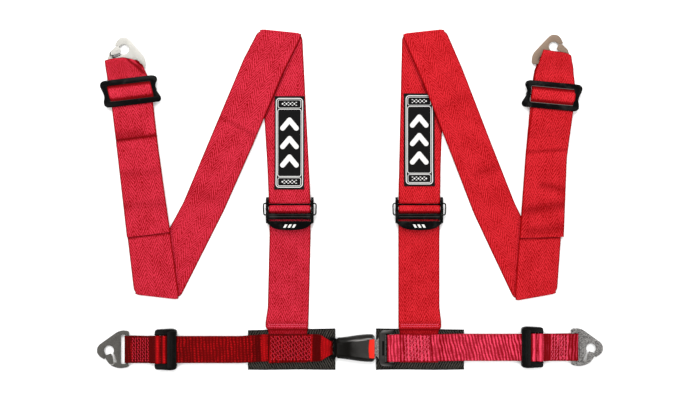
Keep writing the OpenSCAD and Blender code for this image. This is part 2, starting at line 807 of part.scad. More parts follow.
at_hook([right, "shoulder"]) hook_gate();  // right_shoulder_hook_gate
at_hook([right, "shoulder"]) hook_rivet();  // right_shoulder_hook_rivet
at_hook([right, "shoulder"]) hook_spring();  // right_shoulder_hook_spring
lap_slide(left);  // left_lap_slide
lap_slide(right);  // right_lap_slide
shoulder_slide_frame(left);  // left_shoulder_slide_frame
shoulder_slide_bar(left);  // left_shoulder_slide_bar
shoulder_slide_frame(right);  // right_shoulder_slide_frame
shoulder_slide_bar(right);  // right_shoulder_slide_bar
adjuster_frame(left);  // left_adjuster_frame
adjuster_top_bar(left);  // left_adjuster_top_bar
adjuster_slip_bar(left);  // left_adjuster_slip_bar
adjuster_wrap(left);  // left_adjuster_wrap
adjuster_spring(left);  // left_adjuster_spring
adjuster_frame(right);  // right_adjuster_frame
adjuster_top_bar(right);  // right_adjuster_top_bar
adjuster_slip_bar(right);  // right_adjuster_slip_bar
adjuster_wrap(right);  // right_adjuster_wrap
adjuster_spring(right);  // right_adjuster_spring
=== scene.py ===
import math

import bmesh
import bpy
import numpy as np
from mathutils import Matrix, Vector


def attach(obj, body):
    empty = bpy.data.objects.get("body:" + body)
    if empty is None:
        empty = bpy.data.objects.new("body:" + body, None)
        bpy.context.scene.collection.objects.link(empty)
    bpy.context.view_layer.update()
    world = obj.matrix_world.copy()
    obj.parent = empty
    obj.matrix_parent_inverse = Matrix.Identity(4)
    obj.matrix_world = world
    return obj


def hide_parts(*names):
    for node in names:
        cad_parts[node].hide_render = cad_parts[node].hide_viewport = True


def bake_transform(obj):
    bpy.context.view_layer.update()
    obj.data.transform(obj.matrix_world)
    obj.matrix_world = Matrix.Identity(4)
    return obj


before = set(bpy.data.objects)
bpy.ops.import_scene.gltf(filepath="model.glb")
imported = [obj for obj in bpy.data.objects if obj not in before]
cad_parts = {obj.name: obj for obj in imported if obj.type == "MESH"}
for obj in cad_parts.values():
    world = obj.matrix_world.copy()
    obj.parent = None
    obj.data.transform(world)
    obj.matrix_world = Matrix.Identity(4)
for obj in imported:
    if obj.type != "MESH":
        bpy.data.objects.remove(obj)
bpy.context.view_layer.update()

# Lengths are in millimetres except on the stage, and each piece is scaled to metres as it is placed.
# Both halves are drawn as the left one; the right half's own sizes come second in each pair.
TO_METRES = Matrix.Scale(0.001, 4)
MIRROR = Matrix.Scale(-1, 4, (1, 0, 0))
SIDES = ("left", "right")

WEBBING_T = 1.6
HALF_T = WEBBING_T / 2
SHOULDER_HALF_W = 38
LAP_HALF_W = 25
LAP_RIB = 1.25
PAD_T = 2.4
LABEL_T = 1.0

LAP_BEND_X = -400
LAP_HOOK_Y = (-276, -272)
SHOULDER_HOOK_AT = ((-409, 233), (-366.7, 238.2))
SHOULDER_HOOK_LEAN = (6, 8)
EYE = (43.5, -2.3)
EYE_R = 9.2
GATE_PIVOT = (37, -26.5)
PLATE_Z = (1.9, 4.9)
GATE_Z = (5.1, 6.1)
LOOP_TOP_Z = 6.0

BUCKLE_Y = -273
BUCKLE_X = (-26.0, 45.0)
# Half the buckle's width at the strap's end, and how much it widens towards the button.
BUCKLE_HALF_W = 18.6
BUCKLE_FLARE = 6.2
LAP_SEWN_X = -148
LAP_END_X = (-35, -71.3)
LAP_END_Z = (5.5, 8.3)
LAP_END_R = (2.1, 2.4)
LAP_END_HALF_W = (12.5, 25)
LAP_SLIDE_X = (-339, -335.5)

TOP_FOLD = (((-168, 311.8), (-88, 303.5)), ((-176, 311.8), (-96, 303)))
BOTTOM_FOLD = (((-397, -173), (-314, -182.5)), ((-381, -171), (-303, -185)))
CROSSING = (
    (((-196, 258), (-124, 230)), ((-257, 113), (-180, 97)), ((-307, -5), (-233, -22))),
    (((-207, 240), (-135, 212)), ((-256, 113), (-184, 88)), ((-303, -5), (-229, -28))),
)
TAIL_END = (((-410, -70), (-330, -60)), ((-393, -69), (-312, -71)))
CROSSING_Z = 3.7
MAIN_Z = 4.1
TAIL_Z = 5.9

SHOULDER_SLIDE_AT = ((-403, 198), (-371, 190))
SHOULDER_LEAN = (6.8, 5.3)
STRAIGHT_UP = 10
STRAIGHT_DOWN = -110

ADJUSTER_AT = ((-110.4, -4), (-127, -4))
ADJUSTER_Z = 7
TOP_TURN_R = 3.3
SLIP_Y = -13.2
SLIP_TRAVEL = 2.5
SLIP_Z = 1
WRAP_MID_R = 4.7

# Each shoulder strap's nose round its hook: how far it reaches, half its width, how far it sits
# to one side, how far its outer and inner ends fall back, and whether its inner edge is pleated.
HOOK_NOSE = ((28.8, 31.5, -6.8, 2.3, 10.9, 1), (35.5, 26, -8.8, 4.5, 0, 0))
# How far a fold's corners are drawn in, and how far from the corner that reaches.
CORNER_EASE = 2.6
CORNER_REACH = 11
# How far the strap sits to one side where it leaves its slide for the hook.
START_SHIFT = (0, -11)
# Creases across each strap's outer leg: from, to, width and depth.
CREASES = (
    (((-430, 107.5), (-350, 118.5), 2.6, 0.9), ((-430, 116), (-385, 122), 7, 0.3),
     ((-432, 46), (-352, 50), 8, 0.16), ((-425, -14), (-345, -8), 9, 0.16)),
    (((-325, 87), (-396, 91), 2.6, 0.35), ((-353, 26), (-392, 18), 6, 0.3),
     ((-322, -21), (-392, -10), 9, 0.35), ((-330, -60), (-390, -52), 9, 0.25),
     ((-326, 120), (-396, 126), 9, 0.1)),
)
STRAP_CREASES = (
    (((-240, 152), (-176, 118), 3.0, 0.22), ((-300, 20), (-240, -2), 9, 0.08)),
    (((-234, 48), (-274, 60), 7, 0.15), ((-215, 190), (-150, 160), 9, 0.08)),
)

# The spots along one stitch that its thread goes through, and how high it is at each.
STITCH_SPOTS = (0.08, 0.3, 0.5, 0.7, 0.92)
STITCH_RISE = (-0.12, 0.1, 0.18, 0.1, -0.12)

HEM_X = (-114.5, -127)
LABEL_X = ((-139, -84), (-156, -99))
LABEL_Y = ((18, 190), (24, 195))


# ---- Materials ----

class Shader:
    """A material's nodes, built with short calls."""

    def __init__(self, name, roughness=0.5, metallic=0.0):
        self.material = bpy.data.materials.new(name)
        self.material.use_nodes = True
        self.tree = self.material.node_tree
        self.surface = self.tree.nodes["Principled BSDF"]
        self.set("Roughness", roughness)
        self.set("Metallic", metallic)

    def feed(self, socket, value):
        if isinstance(value, bpy.types.NodeSocket):
            self.tree.links.new(value, socket)
        else:
            socket.default_value = value

    def set(self, name, value):
        self.feed(self.surface.inputs[name], value)

    def math(self, operation, a, b=0.0, clamp=False):
        node = self.tree.nodes.new("ShaderNodeMath")
        node.operation = operation
        node.use_clamp = clamp
        self.feed(node.inputs[0], a)
        self.feed(node.inputs[1], b)
        return node.outputs[0]

    def times(self, a, b, clamp=False):
        return self.math("MULTIPLY", a, b, clamp)

    def plus(self, a, b, clamp=False):
        return self.math("ADD", a, b, clamp)

    def minus(self, a, b, clamp=False):
        return self.math("SUBTRACT", a, b, clamp)

    def wave(self, phase):
        """From 0 to 1 and back once for each whole step of phase."""
        turned = self.math("SINE", self.times(phase, 2 * math.pi))
        return self.plus(self.times(turned, 0.5), 0.5)

    def ramp(self, value, low, high):
        node = self.tree.nodes.new("ShaderNodeMapRange")
        node.interpolation_type = "SMOOTHSTEP"
        self.feed(node.inputs["Value"], value)
        node.inputs["From Min"].default_value = low
        node.inputs["From Max"].default_value = high
        return node.outputs["Result"]

    def mix(self, factor, low, high):
        node = self.tree.nodes.new("ShaderNodeMix")
        node.data_type = "RGBA"
        self.feed(node.inputs["Factor"], factor)
        for socket, value in ((node.inputs[6], low), (node.inputs[7], high)):
            self.feed(socket, value if isinstance(value, bpy.types.NodeSocket) else (*value, 1))
        return node.outputs[2]

    def place(self):
        return self.tree.nodes.new("ShaderNodeTexCoord").outputs["Object"]

    def across_and_along(self):
        """Millimetres across a strap from its middle, and along it."""
        split = self.tree.nodes.new("ShaderNodeSeparateXYZ")
        self.feed(split.inputs[0], self.tree.nodes.new("ShaderNodeTexCoord").outputs["UV"])
        return [self.times(split.outputs[i], 1000) for i in (0, 1)]

    def joined(self, x, y, z=0.0):
        node = self.tree.nodes.new("ShaderNodeCombineXYZ")
        for socket, value in zip(node.inputs, (x, y, z)):
            self.feed(socket, value)
        return node.outputs[0]

    def noise(self, vector, scale, detail=2.0):
        node = self.tree.nodes.new("ShaderNodeTexNoise")
        self.feed(node.inputs["Vector"], vector)
        node.inputs["Scale"].default_value = scale
        node.inputs["Detail"].default_value = detail
        return node.outputs["Fac"]

    def attribute(self, name):
        node = self.tree.nodes.new("ShaderNodeAttribute")
        node.attribute_name = name
        return node.outputs["Fac"]

    def bump(self, height, depth_mm):
        node = self.tree.nodes.new("ShaderNodeBump")
        node.inputs["Strength"].default_value = 1.0
        node.inputs["Distance"].default_value = depth_mm / 1000
        self.feed(node.inputs["Height"], height)
        self.set("Normal", node.outputs[0])


def with_painted_light(s, light, deep, bright, painted_shade):
    """Deep to bright by how light the weave is, then lighter with painted highlights and darker towards the
    painted shade colour, as the piece's painted light attribute says.
    """
    painted_light = s.attribute("painted_light")
    lifted = s.plus(light, s.times(painted_light, 0.5), clamp=True)
    shadow = s.times(painted_light, -0.9, clamp=True)
    return s.mix(shadow, s.mix(lifted, deep, bright), painted_shade)


def herringbone(name, deep, bright, painted_shade, column=12.7, pitch=3.9, rise=2.0,
                half_w=SHOULDER_HALF_W, depth=0.35, weave=0.75):
    """Webbing woven in chevrons: columns along the strap, with the yarns slanting in turn."""
    s = Shader(name, 0.6)
    u, v = s.across_and_along()
    turn = s.math("FRACT", s.math("DIVIDE", u, 2 * column))
    zigzag = s.times(s.math("ABSOLUTE", s.minus(turn, 0.5)), 2)
    phase = s.plus(s.math("DIVIDE", v, pitch * rise), s.times(zigzag, column / pitch))
    wander = s.noise(s.joined(u, v), 0.12, 2)
    yarn = s.wave(s.plus(phase, wander))
    border = s.math("ABSOLUTE", s.minus(s.times(zigzag, 2), 1))
    groove = s.times(s.math("POWER", border, 14), 0.6)
    body = s.times(yarn, s.minus(1, groove))
    rim = s.ramp(s.math("ABSOLUTE", u), half_w - 3.0, half_w - 0.8)
    speck = s.ramp(s.noise(s.joined(u, v), 0.4, 2), 0.42, 0.58)
    patch = s.ramp(s.noise(s.joined(u, v), 0.028, 3), 0.34, 0.66)
    light = s.plus(s.times(body, weave), s.times(speck, 0.4))
    light = s.plus(light, s.times(patch, 0.2))
    light = s.minus(light, (weave - 0.45) / 2)
    light = s.times(light, s.minus(1, rim), clamp=True)
    s.set("Base Color", with_painted_light(s, light, deep, bright, painted_shade))
    s.set("Specular IOR Level", 0.03)
    s.bump(s.plus(body, s.times(speck, 0.6)), depth)
    return s.material


def ribbed(name, deep, bright, painted_shade, pitch=6.1, slant=0.0, level=1.0, dashes=0.3,
           half_w=LAP_HALF_W, depth=0.5):
    """Webbing woven in ribs across the strap, each rib a bundle of yarns."""
    s = Shader(name, 0.5)
    u, v = s.across_and_along()
    drift = s.noise(s.joined(s.times(u, 0.6), v), 0.08, 2)
    leaning = s.minus(s.ramp(v, 120, 200), s.ramp(v, 310, 360))
    lean = s.times(leaning, slant)
    run = s.plus(v, s.times(u, lean))
    rib = s.wave(s.plus(s.math("DIVIDE", run, pitch), s.times(drift, 1.1)))
    yarn = s.wave(s.plus(s.math("DIVIDE", u, 4.4), s.times(drift, 2)))
    rim = s.ramp(s.math("ABSOLUTE", u), half_w - 2.4, half_w - 0.6)
    grain = s.noise(s.joined(u, s.times(v, 1.8)), 0.42, 3)
    glint = s.ramp(s.noise(s.joined(u, v), 0.05, 3), 0.36, 0.64)
    broken = s.plus(1 - dashes, s.times(yarn, dashes))
    ridge = s.times(s.math("POWER", rib, 1.7), broken)
    lit = s.times(ridge, s.plus(0.45, s.times(glint, 0.75)))
    specks = s.times(s.minus(grain, 0.5), 0.8)
    light = s.times(s.plus(lit, specks), level)
    light = s.times(light, s.minus(1, s.times(rim, 0.7)), clamp=True)
    s.set("Base Color", with_painted_light(s, light, deep, bright, painted_shade))
    s.set("Specular IOR Level", 0.03)
    s.bump(s.plus(ridge, s.times(grain, 0.4)), depth)
    return s.material


def moulded(name, colour, roughness=0.42, grain_mm=0.12, shine=0.06, lifted=None):
    """Moulded plastic or coating with a fine grain, a few rubbed places, and painted highlights where its
    painted light attribute is set; lifted is the colour of both.
    """
    s = Shader(name, roughness)
    place = s.place()
    grain = s.noise(place, 1400, 2)
    rubbed = s.ramp(s.noise(place, 60, 4), 0.5, 0.75)
    lighter = lifted or tuple(min(1, c * 1.6 + 0.002) for c in colour)
    wear_and_painted_light = s.plus(s.times(rubbed, 0.03), s.attribute("painted_light"), clamp=True)
    s.set("Base Color", s.mix(wear_and_painted_light, colour, lighter))
    s.set("Roughness", s.plus(roughness - 0.08, s.times(rubbed, 0.16)))
    s.set("Specular IOR Level", shine)
    s.bump(s.plus(grain, s.times(rubbed, 0.2)), grain_mm)
    return s.material


def plated(name, colour, roughness=0.45, metallic=0.3, mottle=0.2):
    """Pressed, plated steel with fine scratches and clouding."""
    s = Shader(name, roughness, metallic)
    place = s.place()
    cloud = s.noise(place, 700, 4)
    stretched = s.tree.nodes.new("ShaderNodeMapping")
    stretched.inputs["Scale"].default_value = (1, 14, 14)
    s.feed(stretched.inputs["Vector"], place)
    scratch = s.noise(stretched.outputs[0], 260, 3)
    low = tuple(c * (1 - mottle) for c in colour)
    high = tuple(min(1, c * (1 + mottle)) for c in colour)
    s.set("Base Color", s.mix(s.ramp(cloud, 0.38, 0.62), low, high))
    s.set("Roughness", s.plus(roughness - 0.1, s.times(scratch, 0.22)))
    s.set("Specular IOR Level", 0.2)
    s.bump(s.plus(scratch, cloud), 0.05)
    return s.material


def printed(name, ground, mark):
    """Satin-woven patch, with its mark where the motif attribute is above zero."""
    s = Shader(name, 0.6)
    u, v = s.across_and_along()
    yarn = s.times(s.wave(s.math("DIVIDE", u, 0.9)), s.wave(s.math("DIVIDE", v, 0.9)))
    shade = s.ramp(s.attribute("motif"), -0.12, 0.12)
    s.set("Base Color", s.mix(shade, ground, mark))
    s.set("Specular IOR Level", 0.04)
    s.bump(s.plus(yarn, s.times(shade, 1.2)), 0.12)
    return s.material


# The colour that painted shade on the red shoulder webbing darkens towards.
PAINTED_SHADE_RED = (0.11, 0.0, 0.001)
FINISH = {
    "shoulder_webbing": herringbone("shoulder_webbing", (0.19, 0.0, 0.0), (0.53, 0.025, 0.050), PAINTED_SHADE_RED),
    "shoulder_webbing_right": herringbone("shoulder_webbing_right", (0.22, 0.0, 0.0),
                                          (0.54, 0.018, 0.027), PAINTED_SHADE_RED),
    "lap_webbing_left": ribbed("lap_webbing_left", (0.062, 0.0, 0.0), (0.41, 0.003, 0.005),
                               (0.05, 0.0, 0.0), level=0.75, dashes=0.8),
    "lap_webbing_right": ribbed("lap_webbing_right", (0.17, 0.0003, 0.002), (0.68, 0.046, 0.095),
                                (0.12, 0.0, 0.001), 6.0, 0.28, 1.2),
    "pad_webbing": herringbone("pad_webbing", (0.0, 0.0, 0.0), (0.046, 0.042, 0.036), (0.0, 0.0, 0.0),
                               38.0, 9.0, 0.51, weave=1.5),
    "label_fabric": printed("label_fabric", (0.004, 0.004, 0.004), (0.60, 0.595, 0.58)),
    "slide_plastic": moulded("slide_plastic", (0.002, 0.002, 0.0018), 0.34, lifted=(0.05, 0.046, 0.04)),
    "buckle_plastic": moulded("buckle_plastic", (0.003, 0.0026, 0.002), 0.42, lifted=(0.28, 0.27, 0.26)),
    "button_plastic": moulded("button_plastic", (0.78, 0.018, 0.008), 0.40, 0.02, 0.2),
    "black_steel": moulded("black_steel", (0.0015, 0.0015, 0.0015), 0.30, 0.04, 0.05, (0.30, 0.29, 0.27)),
    # The four hooks are the same steel. Each is given its own colour to paint the reflections it shows: dark
    # on the left lap hook, mottled on the right lap hook, bright on the left shoulder hook and warm on the
    # right one.
    "hook_steel": plated("hook_steel", (0.066, 0.063, 0.057)),
    "hook_steel_painted_mottled_reflection": plated("hook_steel_painted_mottled_reflection", (0.145, 0.14, 0.135), mottle=0.75),
    "hook_steel_painted_bright_reflection": plated("hook_steel_painted_bright_reflection", (0.40, 0.39, 0.36), mottle=0.06),
    "hook_steel_painted_warm_reflection": plated("hook_steel_painted_warm_reflection", (0.19, 0.135, 0.098), mottle=0.06),
    "bright_steel": plated("bright_steel", (0.34, 0.33, 0.31), mottle=0.3),
    "blade_steel": plated("blade_steel", (0.19, 0.18, 0.17), mottle=0.55),
    "dark_wire": plated("dark_wire", (0.008, 0.008, 0.007)),
    "thread_pink": moulded("thread_pink", (0.62, 0.07, 0.12), 0.6, 0.03),
    "thread_red": moulded("thread_red", (0.50, 0.02, 0.04), 0.6, 0.03),
    "white_print": moulded("white_print", (0.62, 0.61, 0.58), 0.6, 0.02),
    "thread_black": moulded("thread_black", (0.016, 0.015, 0.013), 0.6, 0.03),
}


# ---- Shapes ----

def mix(a, b, t):
    return a + (b - a) * t


def smooth(t):
    t = min(1, max(0, t))
    return t * t * (3 - 2 * t)


def side_matrix(side):
    return MIRROR if side else Matrix.Identity(4)


def linked(name, data):
    """A new object in the scene."""
    obj = bpy.data.objects.new(name, data)
    bpy.context.collection.objects.link(obj)
    return obj


def turn_outwards(mesh):
    shape = bmesh.new()
    shape.from_mesh(mesh)
    bmesh.ops.recalc_face_normals(shape, faces=shape.faces)
    shape.to_mesh(mesh)
    shape.free()


def add_object(name, mesh, slot, body, matrix=Matrix.Identity(4), stands_for=(), finish=None, sharp=38):
    """Puts a mesh drawn in millimetres in its place and on its body."""
    mesh.transform(TO_METRES @ matrix)
    turn_outwards(mesh)
    mesh.shade_smooth()
    mesh.set_sharp_from_angle(angle=math.radians(sharp))
    obj = linked(name, mesh)
    mesh.materials.clear()
    mesh.materials.append(FINISH[finish or slot])
    if stands_for:
        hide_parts(*stands_for)
    if body:
        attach(obj, body)
    return obj


def mesh_of(name, points, faces, uvs=None):
    mesh = bpy.data.meshes.new(name)
    mesh.from_pydata([tuple(p) for p in points], [], faces)
    if uvs is not None:
        layer = mesh.uv_layers.new(name="UVMap")
        corners = np.empty(len(mesh.loops), dtype=np.int32)
        mesh.loops.foreach_get("vertex_index", corners)
        layer.data.foreach_set("uv", (np.asarray(uvs, float)[corners] / 1000).ravel())
    return mesh


def ring_faces(count, n, closed=False):
    """Faces that join each ring of n points to the next."""
    faces = []
    for i in range(count if closed else count - 1):
        a, b = i * n, (i + 1) % count * n
        faces += [(a + k, a + (k + 1) % n, b + (k + 1) % n, b + k) for k in range(n)]
    return faces


def end_faces(count, n):
    """A face over the first ring and one over the last."""
    return [tuple(range(n)), tuple(reversed(range((count - 1) * n, count * n)))]


def rounded(points, radius, steps=6):
    """A closed outline with each corner turned smoothly."""
    radii = radius if isinstance(radius, (list, tuple)) else [radius] * len(points)
    out = []
    for i, corner in enumerate(points):
        here = Vector(corner)
        before = Vector(points[i - 1]) - here
        after = Vector(points[(i + 1) % len(points)]) - here
        r = min(radii[i], before.length * 0.48, after.length * 0.48)
        start = here + before.normalized() * r
        end = here + after.normalized() * r
        for k in range(steps + 1):
            t = k / steps
            out.append(start * (1 - t) ** 2 + here * 2 * t * (1 - t) + end * t ** 2)
    return [(p.x, p.y) for p in out]


def arc(centre, r, start, end, steps):
    """Points on a circle from one angle in degrees to another."""
    turns = [math.radians(mix(start, end, i / steps)) for i in range(steps + 1)]
    return [(centre[0] + r * math.cos(t), centre[1] + r * math.sin(t)) for t in turns]


def plate(name, loops, z0, z1, edge=0.5):
    """A flat plate with rounded edges: its outline first, then its holes."""
    curve = bpy.data.curves.new(name, "CURVE")
    curve.dimensions = "2D"
    curve.fill_mode = "BOTH"
    curve.extrude = (z1 - z0) / 2 - edge
    curve.bevel_depth = edge
    curve.bevel_resolution = 2
    curve.offset = -edge
    for loop in loops:
        spline = curve.splines.new("POLY")
        spline.points.add(len(loop) - 1)
        spline.points.foreach_set("co", [c for p in loop for c in (p[0], p[1], 0, 1)])
        spline.use_cyclic_u = True
    holder = linked(name, curve)
    graph = bpy.context.evaluated_depsgraph_get()
    mesh = bpy.data.meshes.new_from_object(holder.evaluated_get(graph))
    bpy.data.objects.remove(holder)
    mesh.transform(Matrix.Translation((0, 0, (z0 + z1) / 2)))
    mesh.name = name
    weld(mesh, 0.002)
    return mesh


def weld(mesh, distance):
    shape = bmesh.new()
    shape.from_mesh(mesh)
    bmesh.ops.remove_doubles(shape, verts=shape.verts, dist=distance)
    shape.to_mesh(mesh)
    shape.free()


def merged(name, meshes):
    """Several meshes as one, keeping their UVs."""
    shape = bmesh.new()
    for mesh in meshes:
        shape.from_mesh(mesh)
    out = bpy.data.meshes.new(name)
    shape.to_mesh(out)
    shape.free()
    return out


def tube(name, points, radius, sides=12, closed=False, taper=0.0):
    """A round wire through points. With a taper its ends are rounded off."""
    points = [Vector(p) for p in points]
    count = len(points)
    rings = []
    reference = None
    for i, point in enumerate(points):
        ahead = points[(i + 1) % count] if closed or i < count - 1 else point
        behind = points[i - 1] if closed or i > 0 else point
        along = (ahead - behind).normalized()
        if reference is None:
            reference = along.orthogonal().normalized()
        side = (reference - along * reference.dot(along)).normalized()
        reference = side
        up = along.cross(side)
        shrink = 1.0
        if taper and i in (0, count - 1):
            shrink = 1 - taper
        for k in range(sides):
            turn = 2 * math.pi * k / sides
            rings.append(point + (side * math.cos(turn) + up * math.sin(turn)) * radius * shrink)
    faces = ring_faces(count, sides, closed)
    if not closed:
        faces += end_faces(count, sides)
    return mesh_of(name, rings, faces)


def curved(points, per_step=8):
    """Points along a smooth curve through the ones given."""
    pts = [Vector(p) for p in points]
    pts = [pts[0] * 2 - pts[1]] + pts + [pts[-1] * 2 - pts[-2]]
    out = []
    for i in range(1, len(pts) - 2):
        p0, p1, p2, p3 = pts[i - 1:i + 3]
        for k in range(per_step):
            t = k / per_step
            out.append(0.5 * (p1 * 2 + (p2 - p0) * t + (p0 * 2 - p1 * 5 + p2 * 4 - p3) * t * t
                              + (p1 * 3 - p0 - p2 * 3 + p3) * t ** 3))
    out.append(pts[-2])
    return out


def dome(name, centre, r, height, sides=28, rings=6):
    """A rivet head on the plane z = centre[2]."""
    points = []
    for i in range(rings):
        turn = math.pi / 2 * i / rings
        for k in range(sides):
            a = 2 * math.pi * k / sides
            points.append((centre[0] + r * math.cos(turn) * math.cos(a),
                           centre[1] + r * math.cos(turn) * math.sin(a),
                           centre[2] + height * math.sin(turn)))
    points.append((centre[0], centre[1], centre[2] + height))
    faces = ring_faces(rings, sides)
    top = (rings - 1) * sides
    faces += [(top + k, top + (k + 1) % sides, len(points) - 1) for k in range(sides)]
    faces.append(tuple(reversed(range(sides))))
    return mesh_of(name, points, faces)


# ---- Straps ----

class Section:
    """A strap's cross-section: its two edges, where its outer face looks, and its thickness."""

    def __init__(self, a, b, face, thick=1.0, fixed=False):
        self.a, self.b, self.face = (np.array(v, float) for v in (a, b, face))
        self.thick = thick
        self.fixed = fixed

    def towards(self, other, t):
        return Section(mix(self.a, other.a, t), mix(self.b, other.b, t),
                       mix(self.face, other.face, t), mix(self.thick, other.thick, t))


def flat(a, b, z, face=1, thick=1.0):
    z_a, z_b = z if isinstance(z, tuple) else (z, z)
    return Section((*a, z_a), (*b, z_b), (0, 0, face), thick)


def fold(a, b, out, z0, z1, face, start=-90, end=90, steps=14):
    """A turn on the line from a to b, which bulges along out."""
    r = (z1 - z0) / 2
    sections = []
    for i in range(steps + 1):
        turn = math.radians(mix(start, end, i / steps))
        push = r * math.cos(turn)
        z = (z0 + z1) / 2 + r * math.sin(turn)
        sections.append(Section((a[0] + out[0] * push, a[1] + out[1] * push, z),
                                (b[0] + out[0] * push, b[1] + out[1] * push, z),
                                (face * out[0] * math.cos(turn), face * out[1] * math.cos(turn),
                                 face * math.sin(turn)), fixed=True))
    return sections


def square_to(a, b, sign=1):
    """The direction square to the line from a to b."""
    across = Vector((b[1] - a[1], a[0] - b[0])).normalized() * sign
    return across.x, across.y


def filled(sections, step):
    """The same strap with a cross-section at least every step."""
    out = [sections[0]]
    for before, after in zip(sections, sections[1:]):
        gap = max(np.linalg.norm(after.a - before.a), np.linalg.norm(after.b - before.b))
        count = 1 if before.fixed and after.fixed else max(1, math.ceil(gap / step))
        out += [before.towards(after, i / count) for i in range(1, count)]
        out.append(after)
    return out


def relaxed(sections, passes):
    """Rounds off the kinks between flat stretches."""
    for _ in range(passes):
        a = [s.a.copy() for s in sections]
        b = [s.b.copy() for s in sections]
        for i in range(1, len(sections) - 1):
            if not sections[i].fixed:
                sections[i].a = (a[i - 1] + 2 * a[i] + a[i + 1]) / 4
                sections[i].b = (b[i - 1] + 2 * b[i] + b[i + 1]) / 4
    return sections


def across_profile(half_w, rib):
    """Positions across a strap and the share of its thickness there, with a round selvedge."""
    edge = [(0.0, 0.0), (0.12, 0.53), (0.4, 0.86), (0.8, 1.0), (2.6, 1.0), (3.2, 0.84), (3.8, 0.97)]
    inner = half_w - 3.8
    count = 2 * max(2, round(inner / rib))
    half = [(half_w - d, h) for d, h in edge]
    middle = [(mix(inner, -inner, i / count), 0.93 if i % 2 else 1.0) for i in range(1, count)]
    return half + middle + [(-u, h) for u, h in reversed(half)]


def strap_mesh(name, sections, half_w, step=3.0, passes=3, thickness=WEBBING_T, rib=1.85):
    """A woven strap through its cross-sections. Also gives its length."""
    sections = relaxed(filled(sections, step), passes)
    a = np.array([s.a for s in sections])
    b = np.array([s.b for s in sections])
    face = np.array([s.face for s in sections])
    middle = (a + b) / 2
    along = np.gradient(middle, axis=0)
    normal = np.cross(a - b, along)
    normal /= np.linalg.norm(normal, axis=1)[:, None]
    normal *= np.sign(np.sum(normal * face, axis=1))[:, None]
    run = [np.concatenate([[0], np.cumsum(np.linalg.norm(np.diff(edge, axis=0), axis=1))])
           for edge in (a, b)]
    profile = across_profile(half_w, rib)
    ring = [(u, h) for u, h in profile] + [(u, -h) for u, h in profile[-2:0:-1]]
    points, uvs = [], []
    for i, s in enumerate(sections):
        for u, h in ring:
            t = (1 - u / half_w) / 2
            points.append(mix(a[i], b[i], t) + normal[i] * h * s.thick * thickness / 2)
            uvs.append((u, mix(run[0][i], run[1][i], t)))
    faces = ring_faces(len(sections), len(ring)) + end_faces(len(sections), len(ring))
    return mesh_of(name, points, faces, uvs), float(run[0][-1] + run[1][-1]) / 2


def webbing_finish(slot, side):
    return slot + "_right" if slot == "shoulder_webbing" and side else slot


def add_strap(name, sections, half_w, side, slot, body, stands_for=(), held="laid", rests_on=(), **options):
    mesh, length = strap_mesh(name, sections, half_w, **options)
    obj = add_object(name, mesh, slot, body, side_matrix(side), stands_for, webbing_finish(slot, side), 60)
    return obj


def near_line(x, y, a, b, width):
    """How near places are to the line from a to b: 1 on it, and falling off over the width."""
    ax, ay = b[0] - a[0], b[1] - a[1]
    t = np.clip(((x - a[0]) * ax + (y - a[1]) * ay) / (ax * ax + ay * ay), 0, 1)
    away = np.hypot(x - a[0] - ax * t, y - a[1] - ay * t)
    return np.exp(-(away / width) ** 2)


def between(value, low, high, soft=1.5):
    """1 where a value lies between two others, and falling off softly outside."""
    rise = np.clip((value - low) / soft + 0.5, 0, 1)
    fall = np.clip((high - value) / soft + 0.5, 0, 1)
    return rise * fall


def eased_corner(x, y, corner, other, inwards):
    """Draws in a fold's sharp corner, along the fold and towards the strap."""
    along = np.subtract(other, corner)
    along = along / np.linalg.norm(along)
    pull = CORNER_EASE * np.clip(1 - np.hypot(x - corner[0], y - corner[1]) / CORNER_REACH, 0, 1) ** 2
    return x + pull * along[0], y + pull * (along[1] + inwards)


def worked(obj, side, touch):
    """Moves a piece's points and sets its painted light and shade. touch takes and gives places in
    millimetres.
    """
    mesh = obj.data
    points = np.empty(len(mesh.vertices) * 3)
    mesh.vertices.foreach_get("co", points)
    points = points.reshape(-1, 3) * 1000
    if side:
        points[:, 0] *= -1
    moved, painted_light = touch(*points.T)
    moved = np.array(moved).T
    if side:
        moved[:, 0] *= -1
    mesh.vertices.foreach_set("co", (moved / 1000).ravel())
    values = mesh.attributes.new("painted_light", "FLOAT", "POINT")
    values.data.foreach_set("value", np.broadcast_to(painted_light, len(mesh.vertices)).astype(float))
    mesh.update()


def places_of(obj):
    """Where a piece's points are in millimetres, as x, y and z."""
    return [np.array([v.co[k] for v in obj.data.vertices]) * 1000 for k in range(3)]


def set_painted_light(obj, values):
    """Sets the painted light and shade on a piece's colour at each of its points."""
    layer = obj.data.attributes.new("painted_light", "FLOAT", "POINT")
    layer.data.foreach_set("value", np.asarray(values, float))


def stitches(name, rows, pitch, radius, side, body, finish, slot):
    """Rows of sewing thread: each row is points on the cloth, and each stitch dips at its ends."""
    parts = []
    for row in rows:
        row = [Vector(p) for p in row]
        steps = np.concatenate([[0], np.cumsum([(q - p).length for p, q in zip(row, row[1:])])])
        count = max(1, int(steps[-1] // pitch))
        for i in range(count):
            spots = [steps[-1] * (i + share) / count for share in STITCH_SPOTS]
            path = []
            for k, at in enumerate(spots):
                j = min(len(row) - 2, max(0, int(np.searchsorted(steps, at) - 1)))
                t = (at - steps[j]) / max(1e-6, steps[j + 1] - steps[j])
                path.append(row[j].lerp(row[j + 1], t) + Vector((0, 0, STITCH_RISE[k])))
            parts.append(tube("stitch", path, radius, 6, taper=0.4))
    return add_object(name, merged(name, parts), slot, body, side_matrix(side), finish=finish)


def leg_z(y):
    high = ADJUSTER_Z + TOP_TURN_R
    return mix(high, HALF_T, smooth((y - ADJUSTER_AT[0][1]) / 74))


